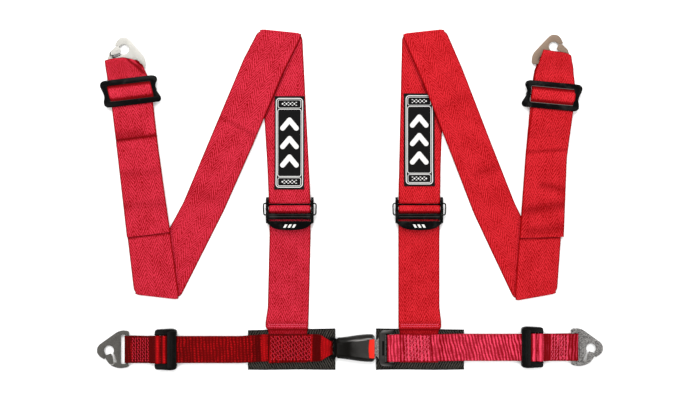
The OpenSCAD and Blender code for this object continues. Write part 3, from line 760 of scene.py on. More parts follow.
def leg_section(side, y, z, face=1):
    at, top = ADJUSTER_AT[side], TOP_FOLD[side]
    inner = mix(at[0] + SHOULDER_HALF_W, top[1][0], (y - at[1]) / (top[1][1] - at[1]))
    outer = mix(at[0] - SHOULDER_HALF_W, top[0][0], (y - at[1]) / (top[0][1] - at[1]))
    return flat((inner, y), (outer, y), z, face)


def beside(at, lean, across, along):
    """A place beside a leaning strap."""
    c, s = math.cos(math.radians(lean)), math.sin(math.radians(lean))
    return at[0] + across * c - along * s, at[1] + across * s + along * c


def straight_section(side, along, z, face=1, shift=0.0):
    at, lean = SHOULDER_SLIDE_AT[side], SHOULDER_LEAN[side]
    return flat(beside(at, lean, SHOULDER_HALF_W + shift, along),
                beside(at, lean, -SHOULDER_HALF_W + shift, along), z, face)


def hook_section(side, reach, z, half_w, face, shift=0.0):
    """A cross-section of the strap beyond the shoulder hook's bend line."""
    at, lean = SHOULDER_HOOK_AT[side], SHOULDER_HOOK_LEAN[side]
    return flat(beside(at, lean, half_w + shift, reach), beside(at, lean, -half_w + shift, reach), z, face)


def shoulder_strap(side):
    name = SIDES[side]
    top, bottom, at = TOP_FOLD[side], BOTTOM_FOLD[side], ADJUSTER_AT[side]
    bar_low, bar_high = ADJUSTER_Z - TOP_TURN_R, ADJUSTER_Z + TOP_TURN_R
    edge_lift = (1.5, 5.0)[side]
    crossing_z = ((CROSSING_Z + edge_lift, CROSSING_Z), (CROSSING_Z, CROSSING_Z), (HALF_T, HALF_T))
    lower = flat(bottom[1], bottom[0], MAIN_Z)
    joint = lower.towards(straight_section(side, STRAIGHT_DOWN, MAIN_Z), 0.62)
    sections = [leg_section(side, 38, HALF_T, -1), leg_section(side, 25, HALF_T, -1)]
    sections += fold((at[0] + SHOULDER_HALF_W, at[1]), (at[0] - SHOULDER_HALF_W, at[1]), (0, -1),
                     bar_low, bar_high, 1, steps=20)
    sections += [leg_section(side, y, leg_z(y)) for y in range(2, 80, 6)]
    sections += fold(top[1], top[0], square_to(top[1], top[0]), HALF_T, CROSSING_Z, -1)
    sections += [flat(edges[1], edges[0], z, -1) for edges, z in zip(CROSSING[side], crossing_z)]
    sections += fold(bottom[1], bottom[0], square_to(bottom[1], bottom[0], -1), HALF_T, MAIN_Z, 1)
    sections += [joint]
    strap = add_strap(name + "_shoulder_strap", sections, SHOULDER_HALF_W, side, "shoulder_webbing",
                      name + "_half", [name + "_upper_shoulder_webbing"], "folded", ["floor"])
    end = TAIL_END[side]

    # Draws in the folds' corners, paints shade on the strap just below the tail's end and beside the
    # crossing layer's edge, and presses the creases in, with painted shade along them.
    def shade(x, y, z):
        for ends, inwards in ((bottom, 1), (top, -1)):
            for corner, other in (ends, ends[::-1]):
                x, y = eased_corner(x, y, corner, other, inwards)
        step = near_line(x, y, (end[0][0], end[0][1] - 1.2), (end[1][0], end[1][1] - 1.2), 2.0)
        painted_light = -0.95 * step * (z > 3)
        painted_light -= 0.5 * near_line(x, y, CROSSING[side][0][1], CROSSING[side][1][1], 3) * (z < 2.5)
        for start, stop, width, depth in STRAP_CREASES[side]:
            dip = near_line(x, y, start, stop, width)
            z = z - depth * dip * (z > 3)
            painted_light -= 1.2 * depth * dip
        return (x, y, z), painted_light

    worked(strap, side, shade)

    # The rest of the strap: up to the hook, through its slot, and back down as the free end.
    nose, far = HOOK_NOSE[side], HOOK_NOSE[side][0]
    loop = [(-3, 0.8, 33, 1, 0), (4, 0.8, 30, 1, 0), (9, 0.8, 26.5, 1, 0.1), (12.5, 1.3, 24.5, 1, 0.2),
            (15, 2.6, 23.5, 1, 0.35), (17, 4.2, 23.5, 1, 0.35), (20, 5.8, 23.5, 1, 0.4),
            (24, 6.6, nose[1] - 4, 1, 0.8), (far - 1.6, 7.3, nose[1] - 1, 1, 1), (far, 8.7, nose[1], 1, 1),
            (far - 1, 10.3, nose[1], -1, 1)]
    for reach, z in ((24.5, 10.8), (17, 10.2), (9, 8.7), (2, 6.9), (-3, 6.1), (-14, TAIL_Z)):
        t = (reach + 16) / (far + 16)
        pull = mix(START_SHIFT[side] / nose[2], 1, t)
        loop.append((reach, z, mix(38, nose[1], t), -1, pull))
    sections = [joint, straight_section(side, STRAIGHT_DOWN, MAIN_Z),
                straight_section(side, STRAIGHT_UP, MAIN_Z)]
    loop[:2] = [(u, z, w - side, face, 0.6 * side) for u, z, w, face, _ in loop[:2]]
    sections += [hook_section(side, u, z, w, face, nose[2] * pull) for u, z, w, face, pull in loop]
    sections += [straight_section(side, STRAIGHT_UP, TAIL_Z, -1, START_SHIFT[side] / 2),
                 straight_section(side, STRAIGHT_DOWN, TAIL_Z, -1), flat(end[1], end[0], TAIL_Z, -1)]
    tail = add_strap(name + "_shoulder_strap_end", sections, SHOULDER_HALF_W, side, "shoulder_webbing",
                     None, [name + "_shoulder_hook_loop"], "folded", ["floor"])
    at, lean = SHOULDER_HOOK_AT[side], SHOULDER_HOOK_LEAN[side]
    c, s = math.cos(math.radians(lean)), math.sin(math.radians(lean))

    # Slants the nose and pleats the upper layer beside the hook, with a painted highlight on the pleat's
    # ridge and painted shade in its pocket and valley. Paints shade along the nose's top edge and, on the
    # right, on the lower layers near the hook, and presses the creases in, with painted shade along them.
    def touch(x, y, z):
        across = (x - at[0]) * c + (y - at[1]) * s
        along = (y - at[1]) * c - (x - at[0]) * s
        late = np.clip((along - 11) / 14, 0, 1)
        drop = nose[3] * np.clip((-18 - across) / 20, 0, 1) ** 2
        drop += nose[4] * np.clip((across + 6) / 31, 0, 1) ** 1.3
        x = x + drop * late * s
        y = y - drop * late * c
        upper = (z > 5) & (along > -14)
        ridge = near_line(across, along, (10, 29), (35.5, -1), 2.4) * nose[5]
        pocket = near_line(across, along, (22, 25), (28, 9), 3.0) * nose[5]
        valley = near_line(across, along, (4, 27), (29, -3), 3.0) * nose[5]
        z = z + np.where(upper, 1.5 * ridge - 1.6 * pocket - 0.4 * valley, 0)
        painted_light = np.where(upper, 0.5 * ridge - 1.7 * pocket - 0.8 * valley, 0)
        painted_light = painted_light - 0.7 * np.clip((along - far + 2.4) / 1.6, 0, 1)
        painted_light = painted_light - 0.8 * side * ((z < 5.2) & (along > -30))
        for start, stop, width, depth in CREASES[side]:
            dip = near_line(x, y, start, stop, width)
            z = z - depth * dip * (z > 2)
            painted_light = painted_light - 1.2 * depth * dip
        return (x, y, z), painted_light

    worked(tail, side, touch)
    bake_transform(tail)


def lower_strap(side):
    name = SIDES[side]
    x0, y0 = ADJUSTER_AT[side]
    x1 = HEM_X[side]
    tab_z = 3.4
    low_z = ADJUSTER_Z + SLIP_Z - WRAP_MID_R
    centre_z = ADJUSTER_Z + SLIP_Z
    front, back = y0 + SLIP_Y + 0.8, y0 + SLIP_Y - SLIP_TRAVEL

    def level(y, x, half_w, z, face=1):
        return flat((x + half_w, y), (x - half_w, y), z, face)

    def turn(y, start, end, steps):
        return fold((x0 + SHOULDER_HALF_W, y), (x0 - SHOULDER_HALF_W, y), (0, 1),
                    centre_z - WRAP_MID_R, centre_z + WRAP_MID_R, 1, start, end, steps)

    w = SHOULDER_HALF_W
    sections = [level(-300, x1, 35.5, tab_z - 0.3, -1), level(-240, x1, 35.5, tab_z - 0.3, -1),
                level(-238, x1 - 1.5, w + 1.5, tab_z + 1, -1), level(-226, x1 - 1.5, w + 1.5, tab_z + 1, -1),
                level(-200, mix(x0, x1, 0.8), w, HALF_T, -1),
                level(-66, x0, w, HALF_T, -1), level(-55, x0, w, low_z, -1), level(back, x0, w, low_z, -1)]
    sections += turn(front, -90, 90, 20)
    sections += turn(back, 90, 200, 14)
    sections += [level(y, x0, w, z, 1) for y, z in ((-25.6, 5.5), (-28, 5.2), (-56, 5.2))]
    strap = add_strap(name + "_lower_strap", sections, w, side, "shoulder_webbing", None,
                      [name + "_lower_shoulder_webbing", name + "_adjuster_wrap"], "folded", ["floor"])

    # Paints highlights on the hem's edge, on top of the turn round the slip bar and on the strip below the
    # bar, and paints shade on the steps beside them, below the turn and over the tab.
    def touch(x, y, z):
        painted_light = 0.75 * between(y, -231.5, -229.5, 1) - 1.0 * between(y, -241, -237.5, 1.2)
        painted_light = painted_light - 0.5 * between(y, -300, -241, 2) - 0.35 * between(y, -229, -226, 2)
        around = y - y0 - SLIP_Y
        painted_light = painted_light + np.where(z > 8, 0.2 * between(around, -4, 3, 3) - 0.6 * between(around, -9, -4, 2), 0)
        painted_light = painted_light + 0.7 * between(around, -26, -18, 2)
        return (x, y, z), painted_light

    worked(strap, side, touch)
    rows = [[(x1 - 1.5 + x, y, tab_z + 1.9 + (y + 230) * 0.03) for x in np.linspace(-35, 35, 60)]
            for y in (-230, -233.6)]
    stitches(name + "_hem_stitches", rows, 4.4, 0.5, side, name + "_half", "thread_pink", "shoulder_webbing")
    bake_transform(strap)


def lap_strap(side):
    name = SIDES[side]
    hook_y, end_x = LAP_HOOK_Y[side], LAP_END_X[side]
    half_w, end_half_w, r = LAP_HALF_W, LAP_END_HALF_W[side], LAP_END_R[side]
    low, high = LAP_END_Z[side] - r, LAP_END_Z[side] + r

    def level(x, y, w, z, face=1):
        return flat((x, y + w), (x, y - w), z, face)

    near_w = mix(end_half_w, half_w, 0.42)
    nose_x = (-411.5, -417)[side]
    droop = (3, 0)[side]
    sewn_high = (LAP_SEWN_X + 1.5, BUCKLE_Y + half_w - 1)
    sewn_low = (LAP_SEWN_X - 1, BUCKLE_Y - half_w - droop)
    sections = [flat(sewn_high, sewn_low, 7.3),
                level(end_x - 33, BUCKLE_Y, half_w, 7),
                level(end_x - 20, BUCKLE_Y, half_w, mix(7, high, 0.6)),
                level(end_x - 9.5, BUCKLE_Y, near_w, high)]
    sections += fold((end_x, BUCKLE_Y + end_half_w), (end_x, BUCKLE_Y - end_half_w), (1, 0),
                     low, high, 1, 90, -90)
    sections += [level(end_x - 9.5, BUCKLE_Y, near_w, mix(5.2, low, 0.9), -1),
                 level(end_x - 20, BUCKLE_Y, half_w, mix(5.2, low, 0.4), -1),
                 level(end_x - 33, BUCKLE_Y, half_w, 5.2, -1), level(-158, BUCKLE_Y, half_w, 5.3, -1),
                 level(-200, hook_y, half_w, 6.2, -1), level(-375, hook_y, half_w, 6.2, -1),
                 level(-397, hook_y, half_w, LOOP_TOP_Z, -1), level(nose_x, hook_y, half_w, LOOP_TOP_Z, -1)]
    sections += fold((nose_x, hook_y + half_w), (nose_x, hook_y - half_w), (-1, 0),
                     HALF_T, LOOP_TOP_Z, -1, 90, -90)
    sections += [level(-397, hook_y, half_w, HALF_T), level(-375, hook_y, half_w, 4),
                 level(-345, hook_y, half_w, 4)]
    slot = "lap_webbing_" + name
    strap = add_strap(name + "_lap_strap", sections, half_w, side, slot, None,
                      [name + "_lap_webbing", name + "_lap_hook_loop"], "folded",
                      [name + "_pad", "floor"], rib=LAP_RIB)
    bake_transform(strap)

    # Puckers the sewn stretches, with painted light and shade following the puckers. Paints shade beside the
    # slide, round the hook's nose and on the layers underneath, a highlight and shade at the sewn end's
    # step, a little light along the middle, and highlights and shade towards the buckle's loop.
    def touch(x, y, z):
        top = z > LOOP_TOP_Z
        wave = np.sin(y * 0.75 + 1.3 * np.sin(x * 0.35)) * np.sin(x * 0.6 + np.sin(y * 0.3))
        sewn = between(x, -399, -370)
        z = z + np.where(top, 0.25 * wave * sewn, 0)
        painted_light = sewn * (0.4 * wave - 0.25)
        painted_light -= 0.75 * between(x, -368, -357, 3) + 0.5 * between(x, -420, -403, 4)
        end = near_line(x, y, (LAP_SEWN_X, -252), (LAP_SEWN_X, -300), 1.8)
        over = z > 6.7
        strength = (1, 0.3)[side]
        painted_light += strength * np.where(over, 1.0, -0.7) * end * between(x, -156, -140)
        bands = 0.8 * between(x, -163, -153, 4) - 0.7 * between(x, -175, -165, 7)
        painted_light += strength * np.where(over, 0, bands)
        painted_light += 0.14 * between(x, -285, -185, 50)
        painted_light += between(x, end_x - 37, end_x - 34, 1.2) * 0.8
        painted_light += between(x, end_x - 19, end_x - 2, 5) * (0.8, 0.3)[side]
        painted_light -= between(x, end_x - 32, end_x - 19, 4) * (0.9, 0.2)[side]
        return (x, y, z), np.where(top, painted_light, -0.4)

    worked(strap, side, touch)

    # Wavy rows of thread where the webbing is sewn down, beside the hook and at the buckle's end.
    rows = []
    for x in np.arange(-371, -399, -4.6):
        rows.append([(x + 0.9 * math.sin(y * 0.9 + x), hook_y + y, 7.15) for y in np.arange(-22, 22.1, 0.8)])
    for x in np.arange(LAP_SEWN_X + 4, end_x - (38, 14)[side], 4.7):
        rows.append([(x + 1.5 * math.sin(y * 0.7 + x * 2.3), BUCKLE_Y + y, 7.95)
                     for y in np.arange(-22.5, 22.6, 0.8)])
    thread = ("thread_red", "thread_pink")[side]
    stitches(name + "_lap_stitches", rows, 4.4, 0.6, side, name + "_half", thread, slot)


def pad(side):
    name = SIDES[side]
    x0, x1 = ((-188, -27), (-210, -48))[side]
    lean = (1.3, 0.8)[side]

    def high(x):
        return -238 - math.tan(math.radians(lean)) * (x1 - x) * 0.9

    def low(x):
        return -314 + 0.4 * math.sin(x * 0.05)

    sections = [flat((x, high(x)), (x, low(x)), 1.2, 1) for x in np.linspace(x0, x1, 6)]
    add_strap(name + "_pad", sections, SHOULDER_HALF_W, side, "pad_webbing", name + "_half",
              [name + "_lap_pad"], "laid", ["floor"], thickness=PAD_T, rib=1.3)
    rows = []
    thread_z = PAD_T + 0.02
    for inset in (2.2, 4.6):
        xs = np.linspace(x0 + inset, x1 - inset, 30)
        rows.append([(x, high(x) - inset, thread_z) for x in xs])
        rows.append([(x, low(x) + inset, thread_z) for x in xs])
    for x in (x0 + 2.2, x0 + 5.4, x1 - 2.2, x1 - 5.4):
        rows.append([(x, y, thread_z) for y in np.linspace(low(x) + 3, high(x) - 3, 20)])
    stitches(name + "_pad_stitches", rows, 3.2, 0.32, side, name + "_half", "thread_black", "pad_webbing")


def box_distance(x, y, half_x, half_y, r):
    """How far a place is inside a rounded box. Outside it is negative."""
    dx, dy = abs(x) - half_x + r, abs(y) - half_y + r
    return r - math.hypot(max(dx, 0), max(dy, 0)) - min(max(dx, dy), 0)


def segment_distance(x, y, a, b):
    ax, ay = b[0] - a[0], b[1] - a[1]
    t = min(1, max(0, ((x - a[0]) * ax + (y - a[1]) * ay) / (ax * ax + ay * ay)))
    return math.hypot(x - a[0] - ax * t, y - a[1] - ay * t)


def motif(x, y, length):
    """How far a place on a label is inside its mark: an outline, bands and three chevrons."""
    half = length / 2
    best = 0.75 - abs(box_distance(x, y, 24.2, half - 4.2, 6))
    for band in (-1, 1):
        centre = band * (half - 14.2)
        best = max(best, 0.5 - abs(box_distance(x, y - centre, 21.0, 7.4, 3.2)))
        small = box_distance(x, y - centre, 14.5, 3.4, 0.5)
        chequer = math.sin(math.pi * x / 3.6) * math.sin(math.pi * (y - centre + 1.7) / 3.4)
        best = max(best, min(small, chequer * 1.2 - 0.3))
    best = max(best, 0.6 - abs(box_distance(x, y, 21.5, half - 24, 4)))
    for step in (-1, 0, 1):
        y0 = step * 34
        best = max(best, 4.6 - segment_distance(abs(x), y, (0, y0 + 8), (12.5, y0 - 7)))
    return best


def label(side):
    name = SIDES[side]
    (x0, x1), (y0, y1) = LABEL_X[side], LABEL_Y[side]
    ys = np.linspace(y0, y1, 173)
    half_w = (x1 - x0) / 2
    sections = [flat((x1, y), (x0, y), leg_z(y) + HALF_T + 0.1 + LABEL_T / 2) for y in ys]
    obj = add_strap(name + "_label", sections, half_w, side, "label_fabric", name + "_half",
                    [name + "_label_patch"], "laid", [name + "_shoulder_strap"],
                    thickness=LABEL_T, rib=0.45, step=1.0, passes=0)
    mesh = obj.data
    values = mesh.attributes.new("motif", "FLOAT", "POINT")
    middle_x, middle_y = (x0 + x1) / 2, (y0 + y1) / 2
    sign = -1000 if side else 1000
    values.data.foreach_set("value", [motif(v.co.x * sign - middle_x, v.co.y * 1000 - middle_y, y1 - y0)
                                      for v in mesh.vertices])
    rows = []
    inset = 1.1
    thread_z = HALF_T + LABEL_T + 0.12
    for x in (x0 + inset, x1 - inset):
        rows.append([(x, y, leg_z(y) + thread_z) for y in np.linspace(y0 + 1.5, y1 - 1.5, 80)])
    for y in (y0 + inset, y1 - inset):
        rows.append([(x, y, leg_z(y) + thread_z) for x in np.linspace(x0 + 1.5, x1 - 1.5, 20)])
    stitches(name + "_label_stitches", rows, 2.6, 0.22, side, name + "_half", "thread_black", "label_fabric")


# ---- Snap hooks ----

def hook_matrix(side, kind):
    """From a hook's own frame, with +X from the webbing's bend to the tip."""
    if kind == "lap":
        place = Matrix.Translation((LAP_BEND_X, LAP_HOOK_Y[side], 0)) @ MIRROR
    else:
        at = SHOULDER_HOOK_AT[side]
        turn = Matrix.Rotation(math.radians(90 + SHOULDER_HOOK_LEAN[side]), 4, "Z")
        place = Matrix.Translation((at[0], at[1], 0)) @ turn @ Matrix.Scale(-1, 4, (0, 1, 0))
    return side_matrix(side) @ place


def hook(side, kind, finish):
    name = SIDES[side] + "_" + kind
    place = hook_matrix(side, kind)
    eye_steps = 48
    outline = rounded([(5.5, -29), (9, -33), (21, -35), (30, -34), (38.5, -30), (42.6, -26.8)], 4)
    outline += rounded([(40.5, -24), (36, -22.5), (33.5, -23.6), (31, -26.3), (28.9, -24.6),
                        (28.7, -21.7), (33.3, -8)], 1.2, 4)
    outline += arc(EYE, EYE_R, 212, -43, eye_steps)
    outline += rounded([(50.4, -12), (50.9, -17.4), (52.6, -18.2), (61, -12.9), (65.5, -6.5),
                        (65.5, 2.5), (61.5, 8.5), (28.5, 32), (21, 34.5), (9, 34), (5.5, 30)],
                       [1, 1.4, 1.4, 5, 6, 6, 6, 7, 6, 4, 4])
    end = 21.5 if kind == "shoulder" else 27
    slot = rounded([(12.5, -27), (21.8, -27), (21.8, end - 2), (19.5, end), (14, end), (12.5, end - 3)], 2.5)
    add_object(name + "_plate", plate(name + "_plate", [outline, slot], *PLATE_Z, 0.55), "hook_steel",
               name + "_hook", place, [name + "_hook_plate"], finish)

    leaf = rounded([(50.2, -11), (39.4, -7.2), (35.5, -15.3), (33.8, -21.5), (34.6, -26.5), (37.5, -30.6),
                    (41.8, -27.3), (46.4, -21.3), (49.6, -16)], [0.8, 1, 1.5, 2, 2, 3, 3, 3, 1])
    parts = [plate("leaf", [leaf], *GATE_Z, 0.25),
             dome("dimple", (42.5, -15.5, GATE_Z[1] - 0.05), 1.5, 0.55)]
    add_object(name + "_gate", merged("gate", parts), "hook_steel", name + "_gate", place,
               [name + "_hook_gate"], finish)

    head = dome("head", (*GATE_PIVOT, GATE_Z[1] + 0.2), 3.1, 1.1)
    foot = dome("foot", (*GATE_PIVOT, 0), 3.1, 0.8)
    foot.transform(Matrix.Translation((0, 0, PLATE_Z[0])) @ Matrix.Scale(-1, 4, (0, 0, 1)))
    shank = tube("shank", [(*GATE_PIVOT, PLATE_Z[0] - 0.1), (*GATE_PIVOT, GATE_Z[1] + 0.3)], 2.0, 24)
    add_object(name + "_rivet", merged("rivet", [head, foot, shank]), "hook_steel", name + "_hook", place,
               [name + "_hook_rivet"], finish)

    mid = (PLATE_Z[0] + PLATE_Z[1]) / 2
    path = curved([(34.6, -22.9, mid + 0.4), (33, -24.8, mid), (30.9, -24.6, mid), (30.1, -22.6, mid),
                   (30.9, -19, mid), (34.6, -8.8, mid)])
    # The springs are bright steel on the lap hooks, to paint the highlights they show, and dark wire on the
    # shoulder hooks.
    add_object(name + "_spring", tube("spring", path, 0.75, 10, taper=0.3), "hook_steel", name + "_hook",
               place, [name + "_hook_spring"], "dark_wire" if kind == "shoulder" else "bright_steel")

    # Every hook but the right shoulder one shows its spring's leg on the gate.
    if not (side and kind == "shoulder"):
        leg = [(41, -26.9, 7.3), (36, -27.4, 8.0), (33.2, -25.6, 7.3), (34.2, -20, 6.9), (36.2, -9.5, 6.8)]
        # The leg is bright on the lap hooks, for the same painted highlights.
        add_object(name + "_spring_leg", tube("leg", curved(leg, 5), 0.6, 10, taper=0.3), "hook_steel",
                   name + "_gate", place, (), "dark_wire" if kind == "shoulder" else "bright_steel")


# ---- Slides ----

def at_shoulder_slide(side):
    turn = Matrix.Rotation(math.radians(SHOULDER_LEAN[side]), 4, "Z")
    return side_matrix(side) @ Matrix.Translation((*SHOULDER_SLIDE_AT[side], 0)) @ turn


def from_slide_middle(obj, side):
    """How far each point is from a shoulder slide's two middle lines."""
    inverse = at_shoulder_slide(side).inverted()
    places = [inverse @ (v.co * 1000) for v in obj.data.vertices]
    return np.abs([p.x for p in places]), np.abs([p.y for p in places])


def add_crest(name, side, sections, half_w, slot, place, rests_on, light, painted_shade, **options):
    """Webbing that rises over a slide's bars, with a painted highlight where it rises high and painted shade
    where it lies low. light gives the highlight and the last argument the shade, each as a strength, a
    height, a softness.
    """
    mesh, length = strap_mesh("crest", sections, half_w, passes=2, **options)
    crest = add_object(name + "_slide_crest", mesh, slot, name + "_slider", place,
                       finish=webbing_finish(slot, side), sharp=60)
    height = places_of(crest)[2]
    set_painted_light(crest, light[0] * between(height, light[1], 12, light[2])
             - painted_shade[0] * between(height, 0, painted_shade[1], painted_shade[2]))


def shoulder_slide(side):
    name = SIDES[side] + "_shoulder"
    body = name + "_slider"
    place = at_shoulder_slide(side)
    outline = rounded([(-54, 20), (-49, 24.7), (44, 25), (50.5, 22), (52, 16), (47.2, 8), (46.6, 1),
                       (48, -4), (54.6, -16), (54.6, -21), (51, -24.8), (-45, -25), (-50.5, -21), (-51, -14),
                       (-48.5, -6), (-49, 1), (-54.5, 15)], 5)
    lean = math.tan(math.radians((7, 2)[side]))
    half_x, half_y = 39.8, 14.6
    slant = half_y * lean
    window = rounded([(-half_x - slant, half_y), (half_x - slant, half_y),
                      (half_x + slant, -half_y), (-half_x + slant, -half_y)], 2)
    parts = [plate("frame", [outline, window], 7, 9.6, 0.9)]
    for end in (-1, 1):
        ear = plate("ear", [rounded([(42 * end, -4), (46.5 * end, -4), (46.5 * end, 4), (42 * end, 4)], 1)],
                    0.1, 7.6, 0.3)
        parts.append(ear)
    slide = add_object(name + "_slide", merged("slide", parts), "black_steel", body, place,
                       [name + "_slide_frame"])
    # A painted highlight along the top of the window's inner edge, stronger on the right slide.
    across, from_middle = from_slide_middle(slide, side)
    on_bevel = between(places_of(slide)[2], 8.8, 9.5, 0.1) * (across < 39)
    set_painted_light(slide, (0.1, 0.6)[side] * between(from_middle, 13.4, 15.9, 0.3) * on_bevel)
    bar = tube("bar", [(-47, 0, 1.5), (47, 0, 1.5)], 1.3, 20)
    add_object(name + "_slide_rod", bar, "black_steel", body, place, [name + "_slide_bar"])

    # The webbing that rises over the slide's bar and shows in its window, with a painted highlight on its
    # crest and painted shade at its foot.
    heights = [(-19, 6.6, 0.4), (-16, 6.7, 0.6), (-12.5, 7.3, 0.9), (-8, 8.7, 1), (0, 9.4, 1), (8, 8.8, 1),
               (12.5, 7.3, 0.9), (16, 6.7, 0.6), (19, 6.6, 0.4)]
    shift = START_SHIFT[side] * 0.2
    sections = [flat((40.2 + shift - y * lean, y), (-40.2 + shift - y * lean, y), z, 1, thick)
                for y, z, thick in heights]
    add_crest(name, side, sections, SHOULDER_HALF_W, "shoulder_webbing", place, name + "_slide",
              (0.22, 9.6, 0.8), (0.95, 9.0, 1.2), step=1.2)


def lap_slide(side):
    name = SIDES[side] + "_lap"
    body = name + "_slider"
    place = side_matrix(side) @ Matrix.Translation((LAP_SLIDE_X[side], LAP_HOOK_Y[side], 0))
    parts = []
    for end in (-1, 1):
        rail = rounded([(-20, 26.4), (20.5, 26.4), (20.5, 35.5), (12, 38.2), (-19, 36.5)], [1, 1, 4, 6, 4])
        rail = [(x, y * end) for x, y in rail]
        parts.append(plate("rail", [rail], 0.1, 9.2, 1.4))
    bridge = rounded([(3.6, -34), (20.5, -35), (20.5, 35), (3.6, 34)], 3)
    parts.append(plate("bridge", [bridge], 7.4, 10.6, 1.3))
    ridge = tube("ridge", [(12.5, y, 9.7) for y in np.linspace(-31, 31, 8)], 1.6, 16, taper=0.8)
    parts.append(ridge)
    for x0, x1 in ((-20.2, -12.8), (-5, 5)):
        parts.append(plate("bar", [rounded([(x0, -30), (x1, -30), (x1, 30), (x0, 30)], 1)], 0.1, 2.6, 0.8))
    add_object(name + "_slider_frame", merged("slide", parts), "slide_plastic", body, place,
               [name + "_slide"])

    # The webbing where it rises over the two lower bars and shows beside the bridge, with painted highlights
    # where it rises and painted shade where it dips.
    heights = [(8, 6.7, 0.5), (4, 6.8, 0.7), (1, 8.0, 1), (-2, 8.7, 1), (-5, 8.3, 1), (-7.5, 7.1, 1),
               (-9.6, 8.0, 1), (-13, 8.8, 1), (-17, 8.5, 1), (-20.5, 7.3, 0.9), (-25, 6.75, 0.6),
               (-29, 6.6, 0.4)]
    sections = [flat((x, 25.6), (x, -25.6), z, 1, thick) for x, z, thick in heights]
    add_crest(name, side, sections, LAP_HALF_W, "lap_webbing_" + SIDES[side], place,
              name + "_slider_frame", (1.0, 9.1, 0.6), (0.9, 8.3, 1), step=1.0, rib=LAP_RIB)


# ---- Tilt-lock adjusters ----

def adjuster(side):
    name = SIDES[side] + "_adjuster"
    place = side_matrix(side) @ Matrix.Translation((*ADJUSTER_AT[side], ADJUSTER_Z))
    upright = Matrix.Rotation(math.radians(90), 4, "Z") @ Matrix.Rotation(math.radians(90), 4, "X")
    cheek = rounded([(8, -3), (8, 2), (4, 6), (-25, 6), (-40, 4.5), (-40, -3), (-34, -7), (0, -7)], 3)
    slip_slot = arc((SLIP_Y - SLIP_TRAVEL, SLIP_Z), 2.2, 90, 270, 14)
    slip_slot += arc((SLIP_Y, SLIP_Z), 2.2, -90, 90, 14)
    parts = []
    for end in (-1, 1):
        wall = plate("cheek", [cheek, slip_slot], -2.4, 2.4, 0.4)
        wall.transform(Matrix.Translation((end * 41.3, 0, 0)) @ upright)
        parts.append(wall)
    bar = plate("bar", [rounded([(-33, 2), (-22, 2), (-22, 3.6), (-24, 5), (-31, 5), (-33, 4)], 0.8)],
                -41.3, 41.3, 0.4)
    bar.transform(upright)
    parts.append(bar)
    parts.append(tube("glint", [(-37, -28, 4.3), (37, -28, 4.3)], 1.5, 14, taper=0.5))
    lip = [(-41, -36), (41, -36), (41.4, -40), (38.5, -42.5), (30, -49), (16, -52.3), (0, -53), (-16, -52.3),
           (-30, -49), (-38.5, -42.5), (-41.4, -40)]
    parts.append(plate("lip", [rounded(lip, [2, 2, 2, 4, 8, 9, 9, 9, 8, 4, 2])], 2.4, 4.6, 0.7))
    # A thin black sheet under the gap between the strap's turn and the roll, standing for the shade seen
    # there.
    parts.append(plate("gap_shade_sheet", [[(-41, -4.4), (41, -4.4), (41, -8.6), (-41, -8.6)]], -4.6, -3.8, 0.2))
    body = add_object(name + "_body", merged("frame", parts), "black_steel", name, place, [name + "_frame"])
    # A painted highlight along the top of the bar and its glint ridge.
    x, y, z = places_of(body)
    middle_x, middle_y = ADJUSTER_AT[side]
    on_bar = (z > ADJUSTER_Z + 4.9) * (np.abs(np.abs(x) + middle_x) < 38)
    set_painted_light(body, 0.22 * between(y - middle_y, -29.7, -26.3, 0.4) * on_bar)

    # A plain mark of three slanted bars on the lip.
    bars = []
    for x in (-8, 0, 8):
        bar = [(x - 4, -48), (x + 0.5, -48), (x + 4, -42), (x - 0.5, -42)]
        bars.append(plate("bar", [rounded(bar, 0.5)], 4.55, 4.8, 0.08))
    add_object(name + "_mark", merged("mark", bars), "label_fabric", name, place, finish="white_print")

    rod = tube("rod", [(-43.5, 0, 0), (43.5, 0, 0)], 2.2, 24)
    add_object(name + "_rod", rod, "black_steel", name, place, [name + "_top_bar"])
    slip = tube("slip", [(-40, SLIP_Y, SLIP_Z), (40, SLIP_Y, SLIP_Z)], 3.6, 28)
    ends = tube("ends", [(-44.5, SLIP_Y, SLIP_Z), (44.5, SLIP_Y, SLIP_Z)], 2, 20)
    add_object(name + "_slip_rod", merged("slip", [slip, ends]), "bright_steel", SIDES[side] + "_slip_bar",
               place, [name + "_slip_bar"])

    wires = []
    for end in (-1, 1):
        path = curved([(43.2 * end, -3.5, 3), (46.8 * end, -4, 3), (48.3 * end, -7, 3), (48 * end, -15, 3),
                       (47.6 * end, -22, 3), (45.8 * end, -24.4, 3), (43.2 * end, -24.4, 3)], 6)
        wires.append(tube("wire", path, 1.3, 10))
    add_object(name + "_wires", merged("wires", wires), "bright_steel", name, place, [name + "_spring"],
               "dark_wire")


# ---- Buckle and tongue ----

def buckle_ring(inset_y, inset_x, z):
    """The buckle's outline drawn in at the sides and the ends, at one height."""
    x0, x1 = BUCKLE_X
    xs = np.linspace(x0 + inset_x, x1 - inset_x, 22)
    corner = 5.0
    points = []
    for sign, row in ((1, xs), (-1, xs[::-1])):
        for x in row:
            t = (x - x0) / (x1 - x0)
            half = BUCKLE_HALF_W + BUCKLE_FLARE * smooth(t * 1.15) - inset_y
            from_end = max(0, min(x - x0 - inset_x, x1 - inset_x - x))
            if from_end < corner:
                half -= corner * (1 - math.sqrt(1 - (1 - from_end / corner) ** 2)) * 0.8
            points.append((x, sign * max(0.5, half), z))
    return points


def lofted(name, rings):
    points = [p for ring in rings for p in ring]
    n = len(rings[0])
    faces = ring_faces(len(rings), n)
    for start, order in ((0, 1), ((len(rings) - 1) * n, -1)):
        half = n // 2
        for k in range(half - 1):
            quad = (start + k, start + k + 1, start + n - 2 - k, start + n - 1 - k)
            faces.append(quad[::order])
    return mesh_of(name, points, faces)


